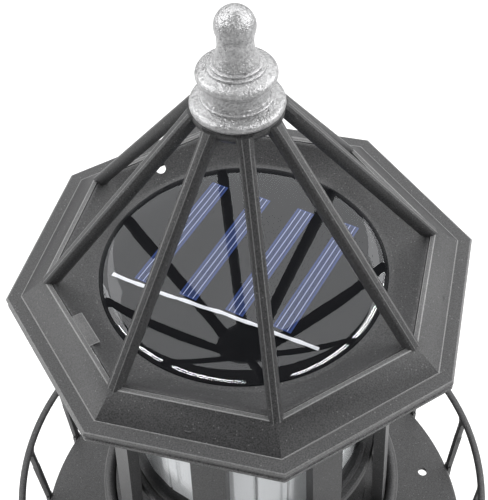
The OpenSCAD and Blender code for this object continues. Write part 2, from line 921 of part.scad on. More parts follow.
module railing_posts() {
    color(plastic_c) at_eave() {
        for (i = [0:rail_posts - 1]) {
            polar(first_post + post_pitch * i, 0) {
                rotate([90, 0, 0]) translate([0, 0, -strut_t / 2]) linear_extrude(strut_t)
                    polygon([[post_in_r, band_z], [foot_out_r, band_z], [strut_out_r, strut_foot_z],
                        [wall_out(spring_z), spring_z], [wall_in(spring_z), spring_z],
                        [strut_in_r, strut_foot_z], [post_in_r, deck_z + 0.5]]);
                box([foot_t, strut_t + 1.2, foot_h], [post_in_r + foot_t / 2, 0, band_z]);
            }
        }
    }
}

// ---------- tower ----------

module corbel() {
    cove_r = corbel_h - 9;
    cove = arc([tower_head_r + 3 + cove_r, corbel_top_z - 5 - cove_r], cove_r, 180, 100, 10);
    color(plastic_c) difference() {
        union() {
            lathe(concat(
                [[tower_head_r + 1.5, corbel_top_z - corbel_h],
                    [tower_head_r + 3, corbel_top_z - corbel_h + 1.5]],
                cove,
                [[corbel_r, corbel_top_z - corbel_edge], [corbel_r, corbel_top_z],
                    [corbel_in_r, corbel_top_z], [corbel_in_r, corbel_top_z - corbel_h]]
            ));
            for (i = [0:rail_posts - 1]) {
                polar(first_post + post_pitch * i, 0) rotate([90, 0, 0]) translate([0, 0, -fin_t / 2])
                    linear_extrude(fin_t) polygon([
                        [tower_head_r + 1, corbel_top_z - corbel_h + 5],
                        [tower_head_r + 5, corbel_top_z - corbel_h + 5],
                        [corbel_r - 13, corbel_top_z - 14], [corbel_r - fin_inset, corbel_top_z - 6],
                        [corbel_r - fin_inset, corbel_top_z - 2], [tower_head_r + 1, corbel_top_z - 2]
                    ]);
            }
        }
        for (i = [0:3]) {
            polar(45 + 90 * i, deck_boss_at) disc(pilot_r, corbel_top_z - deck_screw_l - 3, corbel_top_z + 1);
        }
    }
}

module corbel_screws() {
    color(steel_c) translate([0, 0, corbel_top_z]) {
        for (i = [0:3]) {
            polar(45 + 90 * i, deck_boss_at) disc(screw_r, -deck_screw_l, 0);
        }
    }
}

// One tapered tower section, with a spigot on top that the next one sits over
module tower_shell(i) {
    z0 = plinth_top_z + section_h * i;
    z1 = z0 + section_h;
    r0 = tower_r(z0);
    r1 = tower_r(z1);
    difference() {
        lathe([
            [r0 - wall_t, z0], [r0 - 0.6, z0], [r0, z0 + 0.8], [r1, z1 - 0.8], [r1 - 0.6, z1],
            [r1 - wall_t - joint_gap, z1], [r1 - wall_t - joint_gap - joint_taper, z1 + joint_l],
            [r1 - 2 * wall_t, z1 + joint_l], [r1 - 2 * wall_t, z1 - 4], [r1 - wall_t, z1 - 7]
        ]);
        if (i > 0) {
            for (a = [-90, 90]) {
                facing(a, tower_r(z1) - 12, z0 + 24, 30) arch_2d(window_size[0], window_size[1]);
            }
        }
        if (i == 0) {
            facing(-90, tower_r(z1) - 14, z0 + 1.5, 30) arch_2d(door_size[0], door_size[1]);
        }
    }
}

module tower_section_1() {
    color(white_c) tower_shell(0);
}

module tower_section_2() {
    color(plastic_c) tower_shell(1);
}

module tower_section_3() {
    color(white_c) tower_shell(2);
}

module tower_section_4() {
    color(plastic_c) tower_shell(3);
}

window_z = [for (i = [1:3]) plinth_top_z + section_h * i + 24];

module window_frames() {
    color(white_c) {
        for (z = window_z, a = [-90, 90]) {
            facing(a, tower_r(z + 20) - 3, z, 4.6) difference() {
                arch_2d(window_size[0] - 0.1, window_size[1] - 0.1);
                translate([0, 1.6]) arch_2d(window_size[0] - 3.4, window_size[1] - 3.4);
            }
            facing(a, tower_r(z + 20) - 1.6, z + 10, 1.4) translate([-4.4, -0.5]) square([8.8, 1]);
            facing(a, tower_r(z + 20) - 1.6, z + 1.5, 1.4) translate([-0.5, 0]) square([1, 16.6]);
        }
    }
}

module window_panes() {
    color("#2a3038", 0.8) {
        for (z = window_z, a = [-90, 90]) {
            facing(a, tower_r(z + 20) - 3, z + 1.65, 1.2) arch_2d(window_size[0] - 3.5, window_size[1] - 3.5);
        }
    }
}

door_z = plinth_top_z + 1.5;
door_wall_r = tower_r(door_z + door_size[1]);

module door_frame() {
    color(plastic_c) facing(-90, door_wall_r - 4, door_z + 0.05, 7) difference() {
        arch_2d(door_size[0] - 0.1, door_size[1] - 0.1);
        translate([0, 2]) arch_2d(door_size[0] - 6, door_size[1] - 5);
    }
}

module door_leaf() {
    color("#5d5e60") {
        facing(-90, door_wall_r - 3.6, door_z + 2.1, 3) difference() {
            arch_2d(door_size[0] - 6.1, door_size[1] - 5.1);
            for (i = [-1:1]) {
                translate([i * 5 - 0.3, 2]) square([0.6, 28]);
            }
        }
    }
}

module door_knob() {
    color(brass_c) rotate([0, 0, -90]) translate([door_wall_r - 0.6, 6.5, door_z + 20]) rotate([0, 90, 0]) {
        cylinder(r = 0.8, h = 1.6);
        translate([0, 0, 2.6]) sphere(r = 1.5);
    }
}

module plinth() {
    r = tower_foot_r;
    color(plastic_c) difference() {
        lathe([
            [plinth_r - 4, plinth_bottom_z], [plinth_r, plinth_bottom_z], [plinth_r, 12], [plinth_r - 1, 13],
            [plinth_r - 5, 14], [plinth_r - 7, 24], [plinth_r - 8, 25], [plinth_r - 14, 26], [r + 8, 31],
            [r + 6, 33], [r + 6, plinth_top_z], [r - wall_t - joint_gap, plinth_top_z],
            [r - wall_t - joint_gap - joint_taper, plinth_top_z + joint_l],
            [r - 2 * wall_t - 1, plinth_top_z + joint_l],
            [r - 2 * wall_t - 1, 28], [r + 4, 28], [plinth_r - 16, 23], [plinth_r - 11, 22],
            [plinth_r - 9, 11], [plinth_r - 4, 10]
        ]);
        facing(-90, 40, door_z, 30) arch_2d(door_size[0], door_size[1]);
    }
    color(plastic_c) {
        for (i = [0:5]) {
            polar(60 * i + 30, base_boss_at) tube(boss_r + 0.5, pilot_r, ballast_z, ballast_z + 9.8);
        }
        difference() {
            box(step_size, [0, -ballast_r, step_z]);
            disc(r + 5.8, 20, 40);
        }
    }
}

module ballast_ring() {
    color("#8d8a84") tube(ballast_r, ballast_in_r, ballast_z, ballast_z + ballast_h);
}

module base_plate() {
    color(plastic_c) difference() {
        disc(plinth_r - 4.2, plinth_bottom_z, 6);
        disc(plug_r + 0.1, plinth_bottom_z - 1, 7);
        for (i = [0:5]) {
            polar(60 * i + 30, base_boss_at) {
                disc(screw_r + 0.1, plinth_bottom_z - 1, 7);
                disc(head_r + 0.3, plinth_bottom_z - 1, plinth_bottom_z + head_h);
            }
        }
    }
}

module base_screws() {
    color(steel_c) {
        for (i = [0:5]) {
            polar(60 * i + 30, base_boss_at) screw_up(plinth_bottom_z + head_h, base_screw_l);
        }
    }
}

module filling_plug() {
    color(rubber_c) {
        disc(plug_r, 3.2, 7.2);
        disc(plug_r + 3, 1.7, 3);
        disc(plug_r - 2, 2.9, 4);
    }
}

module base_pad() {
    color(rubber_c) tube(pad_out_r, pad_out_r - pad_w, 0, plinth_bottom_z);
}

finial();
roof_cage();
solar_tray();
solar_backing();
solar_cells();
cell_ribbon();
solar_dome();
soffit_plate();
roof_screws();
lantern_cage();
lens_tube();
beacon_drum();
beacon_spindle();
drive_gear();
spindle_bush();
compound_gear();
idler_pin();
motor_pinion();
motor_shaft();
beacon_motor();
gearbox_plate();
gearbox_screws();
lamp_column();
led_collar();
led_lamps();
lamp_base();
lamp_screws();
circuit_board();
board_parts();
battery_box();
battery_cells();
battery_contacts();
floor_gasket();
lamp_floor();
switch_body();
switch_slider();
cover_seal();
battery_cover();
cover_screws();
gallery_deck();
parapet();
railing_hoop();
railing_posts();
corbel();
corbel_screws();
tower_section_1();
tower_section_2();
tower_section_3();
tower_section_4();
window_frames();
window_panes();
door_frame();
door_leaf();
door_knob();
plinth();
ballast_ring();
base_plate();
base_screws();
filling_plug();
base_pad();
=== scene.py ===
"""Garden lighthouse ornament with a solar roof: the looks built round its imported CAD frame.

Every piece is in metres, in the frame's own axes. The classes give the roof, panel, railing and
camera in millimetres from the middle of the eave's underside, and finishes and lights in metres.
"""

import json
import logging
from dataclasses import dataclass, field
from enum import Enum
from functools import cache
from math import atan2, cos, hypot, pi, radians, sin, sqrt, tau
from typing import Callable, Iterable, Sequence

import bmesh
import bpy
from mathutils import Matrix, Vector


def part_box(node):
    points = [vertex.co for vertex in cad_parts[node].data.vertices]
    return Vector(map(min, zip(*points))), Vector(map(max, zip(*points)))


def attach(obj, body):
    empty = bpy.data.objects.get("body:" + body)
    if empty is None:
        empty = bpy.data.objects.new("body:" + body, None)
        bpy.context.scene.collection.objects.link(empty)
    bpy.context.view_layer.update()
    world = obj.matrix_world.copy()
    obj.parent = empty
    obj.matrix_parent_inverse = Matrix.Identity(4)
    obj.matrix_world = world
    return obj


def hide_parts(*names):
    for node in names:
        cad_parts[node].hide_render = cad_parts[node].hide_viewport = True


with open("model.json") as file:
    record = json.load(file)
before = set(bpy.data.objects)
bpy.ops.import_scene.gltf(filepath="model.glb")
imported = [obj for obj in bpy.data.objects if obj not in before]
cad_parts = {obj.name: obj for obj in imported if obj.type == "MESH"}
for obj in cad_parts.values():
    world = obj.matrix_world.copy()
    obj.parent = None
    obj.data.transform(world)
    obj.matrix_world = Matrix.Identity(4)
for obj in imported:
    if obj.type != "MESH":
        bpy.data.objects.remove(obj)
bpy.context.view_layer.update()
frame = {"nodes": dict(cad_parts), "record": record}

LOG = logging.getLogger("lighthouse")
MM = 0.001
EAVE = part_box("soffit_plate")[1].z
TO_FRAME = Matrix.Translation((0, 0, EAVE)) @ Matrix.Scale(MM, 4)
SIDES = 8
# Face attribute and finish for a painted highlight on plastic faces and edges; on the cells it marks their
# lighter border.
SHEEN_AND_BORDER = "sheen_and_border"
Point = tuple[float, float]
Triple = tuple[float, float, float]
Material = bpy.types.Material


class Body(Enum):
    """The frame's bodies that pieces ride on."""

    TOWER = "tower"
    LAMP_HEAD = "lamp_head"


# ---- shader maths


class Sock:
    """A shader node's outlet that Python's own operators work on."""

    def __init__(self, shade: "Shade", value: "bpy.types.NodeSocket") -> None:
        """Keeps a node's outlet and the material under work that it belongs to."""
        self.shade = shade
        self.value = value

    def maths(self, operation: str, first: "Term", second: "Term" = 0.0) -> "Sock":
        """Adds one Math node and returns its outlet."""
        return self.shade.node("ShaderNodeMath", {"operation": operation}, {0: first, 1: second})

    def __add__(self, other: "Term") -> "Sock":
        """Sum, in either order."""
        return self.maths("ADD", self, other)

    __radd__ = __add__

    def __sub__(self, other: "Term") -> "Sock":
        """Difference."""
        return self.maths("SUBTRACT", self, other)

    def __rsub__(self, other: "Term") -> "Sock":
        """Difference, reflected."""
        return self.maths("SUBTRACT", other, self)

    def __mul__(self, other: "Term") -> "Sock":
        """Product, in either order."""
        return self.maths("MULTIPLY", self, other)

    __rmul__ = __mul__

    def __truediv__(self, other: "Term") -> "Sock":
        """Quotient."""
        return self.maths("DIVIDE", self, other)

    def __gt__(self, other: "Term") -> "Sock":
        """1 where this is the greater, else 0."""
        return self.maths("GREATER_THAN", self, other)

    def __pow__(self, other: "Term") -> "Sock":
        """Power."""
        return self.maths("POWER", self, other)

    def __abs__(self) -> "Sock":
        """Absolute value."""
        return self.maths("ABSOLUTE", self)

    def lanes(self, pitch: float) -> "Sock":
        """How far a place is from the middle of its lane, from 0 to 0.5 of the pitch."""
        return abs(self.maths("FRACT", self / pitch) - 0.5)

    def ramp(self, low: float, high: float) -> "Sock":
        """Smooth step from 0 at low to 1 at high, which is below low for a falling step."""
        return self.shade.node("ShaderNodeMapRange", {"interpolation_type": "SMOOTHSTEP"},
                               {0: self, 1: low, 2: high, 3: 0.0, 4: 1.0})


Term = Sock | float


class Shade:
    """One material under work: its node tree and the few nodes that every finish uses."""

    def __init__(self, name: str, turn: float = 0.0) -> None:
        """Starts an empty tree.

        Args:
            name: The material's name.
            turn: How far its patterns are turned about the Z axis, in degrees.
        """
        self.material = bpy.data.materials.new(name)
        self.material.use_nodes = True
        self.tree = self.material.node_tree
        self.tree.nodes.clear()
        self.turn = turn
        self.here = self.place()

    def node(self, kind: str, settings: "dict[str, object] | None" = None,
             sockets: "dict[int | str, object] | None" = None, outlet: "int | str" = 0) -> Sock:
        """Adds a node, sets it up and returns one of its outlets.

        Args:
            kind: The node's type.
            settings: Its own settings, set first.
            sockets: Values or links for its inlets, by index or name.
            outlet: Which outlet to return, by index or name.

        Returns:
            The outlet.
        """
        made = self.tree.nodes.new(kind)
        for key, value in (settings or {}).items():
            setattr(made, key, value)
        for key, value in (sockets or {}).items():
            if isinstance(value, Sock):
                self.tree.links.new(value.value, made.inputs[key])
            elif isinstance(value, tuple) and made.inputs[key].type == "RGBA":
                made.inputs[key].default_value = (*value, 1.0)[:4]
            else:
                made.inputs[key].default_value = value
        return Sock(self, made.outputs[outlet])

    def place(self, *scale: float) -> Sock:
        """Object coordinates in metres, turned with the patterns and scaled along each axis."""
        here = self.node("ShaderNodeTexCoord", outlet="Object")
        return self.node("ShaderNodeMapping", sockets={
            "Vector": here, "Rotation": (0, 0, radians(self.turn)), "Scale": scale or (1, 1, 1)})

    def noise(self, scale: float, detail: float = 2.0, rough: float = 0.5,
              place: "Sock | None" = None) -> Sock:
        """Noise from 0 to 1 round 0.5, with features of about 1/scale metres."""
        return self.node("ShaderNodeTexNoise", sockets={
            "Vector": place or self.here, "Scale": scale, "Detail": detail, "Roughness": rough})

    def cells(self, scale: float, outlet: str = "Distance", place: "Sock | None" = None) -> Sock:
        """Voronoi distance or colour, with cells of about 1/scale metres."""
        return self.node("ShaderNodeTexVoronoi", sockets={"Vector": place or self.here, "Scale": scale},
                         outlet=outlet)

    def axes(self) -> list[Sock]:
        """The X, Y and Z of the object coordinates."""
        split = self.node("ShaderNodeSeparateXYZ", sockets={0: self.here})
        return [Sock(self, outlet) for outlet in split.value.node.outputs]

    def mix(self, share: Term, first: object, second: object) -> Sock:
        """Mixes two colours, with share for how much of the second."""
        return self.node("ShaderNodeMix", {"data_type": "RGBA"}, {0: share, 6: first, 7: second}, 2)

    def scaled(self, colour: object, factor: Term) -> Sock:
        """A colour made lighter or darker by a factor."""
        grey = self.node("ShaderNodeCombineColor", sockets={0: factor, 1: factor, 2: factor})
        return self.node("ShaderNodeMix", {"data_type": "RGBA", "blend_type": "MULTIPLY"},
                         {0: 1.0, 6: colour, 7: grey}, 2)

    def sheen_and_border_share(self) -> Sock:
        """How much painted highlight a face gets, or on the cells how much lighter border, from the piece's
        own attribute.
        """
        return self.node("ShaderNodeAttribute", {"attribute_name": SHEEN_AND_BORDER}, outlet="Fac")

    def glance(self) -> Sock:
        """0 where a surface is seen square on, 1 where it is seen edge on."""
        return self.node("ShaderNodeLayerWeight", sockets={"Blend": 0.5}, outlet="Facing")

    def bump(self, height: Sock, depth_mm: float) -> Sock:
        """A normal from a height of 0 to 1 that stands for depth_mm millimetres."""
        return self.node("ShaderNodeBump", sockets={"Height": height, "Distance": depth_mm * MM})

    def principled(self, sockets: "dict[str, object]") -> Sock:
        """The surface shader."""
        return self.node("ShaderNodeBsdfPrincipled", sockets=sockets)

    def finish(self, surface: Sock) -> Material:
        """Links a surface shader to the output and returns the material."""
        self.tree.links.new(surface.value, self.tree.nodes.new("ShaderNodeOutputMaterial").inputs["Surface"])
        return self.material


# ---- finishes


@dataclass(frozen=True)
class Finish:
    """A named finish that stands for one of the record's material slots."""

    name: str
    slot: str

    def make(self) -> Material:
        """Builds the material."""
        raise NotImplementedError


@dataclass(frozen=True)
class Moulded(Finish):
    """Injection-moulded plastic with a fine eroded grain, faint flow marks and dust specks, and a painted
    highlight on marked faces.
    """

    colour: Triple = (0.056, 0.056, 0.0575)
    roughness: float = 0.45
    grain: float = 1.1
    mottle: float = 0.16
    specks: float = 0.45
    relief: float = 0.05
    specular: float = 0.4
    # The colour of the painted highlight on marked faces and edges.
    edge: Triple = (0.34, 0.34, 0.34)

    def make(self) -> Material:
        """Builds the material.

        Returns:
            The material.
        """
        shade = Shade(self.name)
        fine = shade.noise(2300.0, 1.0)
        broad = shade.noise(38.0, 4.0, 0.55)
        flow = shade.noise(3.0, 3.0, place=shade.place(14, 14, 55))
        dot = shade.cells(700.0).ramp(0.2, 0.1) * (shade.noise(210.0, 1.0) > 0.5)
        tone = 1.0 + (fine - 0.5) * (self.grain * 2)
        tone = tone + (broad - 0.5) * (self.mottle * 2) + (flow - 0.5) * self.mottle
        colour = shade.mix(dot * self.specks, shade.scaled(self.colour, tone), (0.26, 0.26, 0.258))
        # Painted highlight: marked faces are lightened towards the edge colour, and they are also a little
        # less rough.
        edge = shade.sheen_and_border_share() * (0.55 + fine * 0.9)
        colour = shade.mix(edge, colour, self.edge)
        rough = self.roughness + (broad - 0.5) * 0.22 + (fine - 0.5) * 0.16 - edge * 0.1
        normal = shade.bump(fine + shade.noise(900.0) * 0.8, self.relief)
        return shade.finish(shade.principled({
            "Base Color": colour, "Roughness": rough, "Specular IOR Level": self.specular, "Normal": normal}))


@dataclass(frozen=True)
class SilverPaint(Finish):
    """Silver paint over plastic: bright flakes, soft pooling and small darker pits."""

    colour: Triple = (0.44, 0.44, 0.445)

    def make(self) -> Material:
        """Builds the material.

        Returns:
            The material.
        """
        shade = Shade(self.name)
        flake = shade.noise(1300.0, 2.0, 0.7)
        blotch = shade.noise(260.0, 4.0, 0.65)
        pool = shade.noise(75.0, 3.0)
        pits = shade.cells(620.0).ramp(0.05, 0.32)
        tone = (0.9 + (flake - 0.5) * 1.3 + (blotch - 0.5) * 0.6 + (pool - 0.5) * 0.4) * (0.82 + pits * 0.18)
        lumps = blotch * 1.0 + flake * 1.1 + pits * 0.4
        return shade.finish(shade.principled({
            "Base Color": shade.scaled(self.colour, tone), "Metallic": 0.7 + (blotch - 0.5) * 0.4,
            "Roughness": 0.38 + (flake - 0.5) * 0.3 + (pool - 0.5) * 0.2, "Normal": shade.bump(lumps, 0.3)}))


@dataclass(frozen=True)
class PlatedMetal(Finish):
    """Plated or turned metal with fine scratches and dull patches."""

    colour: Triple = (0.6, 0.6, 0.61)
    roughness: float = 0.3

    def make(self) -> Material:
        """Builds the material.

        Returns:
            The material.
        """
        shade = Shade(self.name)
        scratch = shade.noise(260.0, 3.0, 0.6, shade.place(1, 1, 30))
        dull = shade.noise(90.0, 3.0)
        tone = 1.0 + (scratch - 0.5) * 0.3 + (dull - 0.5) * 0.3
        return shade.finish(shade.principled({
            "Base Color": shade.scaled(self.colour, tone), "Metallic": 1.0,
            "Roughness": self.roughness + (dull - 0.5) * 0.3 + (scratch - 0.5) * 0.2,
            "Normal": shade.bump(scratch, 0.02)}))


@dataclass(frozen=True)
class BlackPanel(Finish):
    """The panel's flat black backing under the resin, with a soft print grain."""

    colour: Triple = (0.004, 0.004, 0.0045)

    def make(self) -> Material:
        """Builds the material.

        Returns:
            The material.
        """
        shade = Shade(self.name)
        grain = shade.noise(900.0)
        dust = shade.cells(260.0).ramp(0.08, 0.03) * (shade.noise(70.0, 1.0) > 0.6)
        colour = shade.mix(dust * 0.5, shade.scaled(self.colour, 0.6 + grain * 0.8), (0.05, 0.05, 0.055))
        return shade.finish(shade.principled({
            "Base Color": colour, "Roughness": 0.7 + (grain - 0.5) * 0.2, "Specular IOR Level": 0.1}))


@dataclass(frozen=True)
class SiliconCell(Finish):
    """Blue silicon under its anti-reflection film, a shade lighter in patches."""

    colour: Triple = (0.01, 0.028, 0.11)
    turn: float = 0.0
    finger_pitch: float = 0.0012

    def make(self) -> Material:
        """Builds the material.

        Returns:
            The material.
        """
        shade = Shade(self.name, self.turn)
        film = shade.noise(45.0, 3.0)
        crystal = shade.cells(330.0, "Color", shade.place(1, 0.35, 1))
        grey = shade.node("ShaderNodeRGBToBW", sockets={0: crystal})
        comb = shade.axes()[0].lanes(self.finger_pitch).ramp(0.44, 0.49)
        tone = 0.85 + (film - 0.5) * 0.5 + (grey - 0.5) * 0.12
        colour = shade.mix(comb * 0.1, shade.scaled(self.colour, tone), (0.2, 0.25, 0.5))
        colour = shade.mix(shade.sheen_and_border_share() * 0.75, colour, (0.03, 0.065, 0.24))
        return shade.finish(shade.principled({
            "Base Color": colour, "Roughness": 0.45 + (film - 0.5) * 0.2, "Specular IOR Level": 0.2}))


@dataclass(frozen=True)
class ClearShell(Finish):
    """Clear resin or plastic: what is under it shows through, and edge on it mirrors the room.

    Below bonded_below, a height in metres, the face is stuck down and mirrors nothing.
    """

    tint: Triple = (0.97, 0.975, 0.98)
    roughness: float = 0.02
    haze: float = 0.0
    mirror: float = 0.045
    bonded_below: float = -1.0

    def make(self) -> Material:
        """Builds the material.

        Returns:
            The material.
        """
        shade = Shade(self.name)
        wave = shade.noise(22.0)
        gloss = shade.principled({
            "Base Color": shade.scaled((0.97, 0.98, 1.0), 0.94 + (wave - 0.5) * 0.12),
            "Roughness": self.roughness, "Metallic": 1.0, "Normal": shade.bump(wave, 0.004)})
        through = shade.node("ShaderNodeBsdfTransparent", sockets={0: self.tint})
        film = shade.noise(140.0, 3.0)
        share = self.mirror + shade.glance() ** 5.0 * 0.9 + film * self.haze
        free = shade.axes()[2].ramp(self.bonded_below - 0.0001, self.bonded_below)
        mixed = shade.node("ShaderNodeMixShader", sockets={0: share * free, 1: through, 2: gloss})
        return shade.finish(mixed)


@dataclass(frozen=True)
class CastStone(Finish):
    """Cast ballast: pitted, with aggregate of two sizes."""

    colour: Triple = (0.5, 0.49, 0.46)

    def make(self) -> Material:
        """Builds the material.

        Returns:
            The material.
        """
        shade = Shade(self.name)
        grit = shade.cells(300.0)
        cloud = shade.noise(60.0, 4.0)
        pits = shade.cells(110.0).ramp(0.22, 0.05)
        tone = 0.9 + (grit - 0.4) * 0.35 + (cloud - 0.5) * 0.4 - pits * 0.4
        return shade.finish(shade.principled({
            "Base Color": shade.scaled(self.colour, tone), "Roughness": 0.85,
            "Normal": shade.bump(grit + cloud - pits, 0.4)}))


@dataclass(frozen=True)
class CircuitBoard(Finish):
    """Solder mask over tracks."""

    colour: Triple = (0.03, 0.17, 0.07)
    track_pitch: float = 0.0025
    rung_pitch: float = 0.006

    def make(self) -> Material:
        """Builds the material.

        Returns:
            The material.
        """
        shade = Shade(self.name)
        _, across, up = shade.axes()
        lane = across.lanes(self.track_pitch).ramp(0.1, 0.16)
        rung = up.lanes(self.rung_pitch).ramp(0.03, 0.07)
        track = (1.0 - lane) + (1.0 - rung) * 0.7
        weave = shade.noise(900.0, 1.0)
        colour = shade.mix(track * 0.6, shade.scaled(self.colour, 0.8 + weave * 0.4), (0.08, 0.33, 0.14))
        return shade.finish(shade.principled({
            "Base Color": colour, "Roughness": 0.35 + (weave - 0.5) * 0.2,
            "Normal": shade.bump(track, 0.05)}))


@dataclass(frozen=True)
class CellJacket(Finish):
    """A rechargeable cell's shrink sleeve with its bare metal ends."""

    colour: Triple = (0.12, 0.3, 0.2)
    sleeve_end: float = 0.0245
    band_at: float = 0.014

    def make(self) -> Material:
        """Builds the material.

        Returns:
            The material.
        """
        shade = Shade(self.name)
        along = shade.axes()[0]
        sleeve = abs(along).ramp(self.sleeve_end, self.sleeve_end - 0.0006)
        band = abs(along - self.band_at).ramp(0.0042, 0.0038)
        shrink = shade.noise(120.0, 3.0, place=shade.place(1, 6, 6))
        green = shade.scaled(self.colour, 0.85 + shrink * 0.3)
        sleeved = shade.mix(band, green, (0.55, 0.56, 0.55))
        colour = shade.mix(sleeve, (0.6, 0.6, 0.6), sleeved)
        return shade.finish(shade.principled({
            "Base Color": colour, "Metallic": 1.0 - sleeve, "Roughness": 0.32 + (shrink - 0.5) * 0.2,
            "Normal": shade.bump(shrink, 0.05)}))


@dataclass(frozen=True)
class PaleFloor(Finish):
    """The plain studio floor, which glows a little so that it stays pale at its edges."""

    grey: float = 0.55
    glow: float = 0.68

    def make(self) -> Material:
        """Builds the material.

        Returns:
            The material.
        """
        shade = Shade(self.name)
        cloud = shade.noise(3.0)
        glow = shade.node("ShaderNodeEmission", sockets={"Color": (1.0, 1.0, 1.0), "Strength": self.glow})
        matt = shade.principled({"Base Color": shade.scaled((self.grey,) * 3, 0.99 + cloud * 0.02),
                                 "Roughness": 0.9, "Specular IOR Level": 0.1})
        return shade.finish(shade.node("ShaderNodeAddShader", sockets={0: matt, 1: glow}))


FINISHES: tuple[Finish, ...] = (
    Moulded("Dark moulded plastic", "dark_plastic"),
    # Lighter dark plastic for a painted highlight on the eased edges of kept nodes.
    Moulded("Painted edge highlight", SHEEN_AND_BORDER, (0.17, 0.17, 0.172), roughness=0.4),
    Moulded("Dark tower plastic", "banded_dark", roughness=0.5),
    Moulded("White tower plastic", "white_plastic", (0.62, 0.62, 0.612), roughness=0.42, grain=0.05,
            mottle=0.04, specks=0.0, relief=0.03),
    Moulded("Beacon slat plastic", "drum_plastic", (0.86, 0.865, 0.86), roughness=0.35, grain=0.05,
            mottle=0.06, specks=0.0, relief=0.02),
    SilverPaint("Silver paint", "silver_paint"),
    BlackPanel("Panel backing", "panel_black"),
    SiliconCell("Silicon cells", "panel_cells", turn=-52.5),
    Moulded("Tinned ribbon", "tinned_copper", (0.9, 0.9, 0.91), roughness=0.4, grain=0.15, mottle=0.1,
            specks=0.0, relief=0.03),
    ClearShell("Cast resin", "clear_resin", tint=(0.93, 0.94, 0.96), roughness=0.0,
               bonded_below=EAVE + 0.0026),
    ClearShell("Clear lens plastic", "clear_plastic", roughness=0.06, haze=0.03),
    Moulded("Dark glazing", "dark_glazing", (0.02, 0.024, 0.03), roughness=0.12, grain=0.05, relief=0.0,
            mottle=0.2, specks=0.1),
    PlatedMetal("Zinc plate", "steel"),
    PlatedMetal("Turned brass", "brass", (0.75, 0.55, 0.25), roughness=0.28),
    Moulded("Natural nylon", "nylon", (0.72, 0.7, 0.62), roughness=0.4, grain=0.05, mottle=0.05,
            specks=0.0),
    ClearShell("Lamp epoxy", "led_resin", tint=(0.98, 0.96, 0.86), roughness=0.05, haze=0.35),
    Moulded("Printed silver lines", "printed_lines", (0.5, 0.56, 0.85), roughness=0.4, grain=0.2,
            mottle=0.1, specks=0.0, relief=0.01),
    CircuitBoard("Solder mask", "board_green"),
    Moulded("Black moulding", "black_moulding", (0.02, 0.02, 0.021), roughness=0.5),
    CellJacket("Cell sleeve", "cell_jacket"),
    Moulded("Soft rubber", "rubber", (0.018, 0.018, 0.018), roughness=0.75, specks=0.4, relief=0.08),
    Moulded("Door plastic", "door_plastic", (0.11, 0.111, 0.114), roughness=0.45),
    CastStone("Cast ballast", "ballast"),
)


@cache
def painted(slot: str) -> Material:
    """The material for a slot of the record or a finish of its own, made on first use."""
    return next(finish for finish in FINISHES if finish.slot == slot).make()


# ---- mesh work


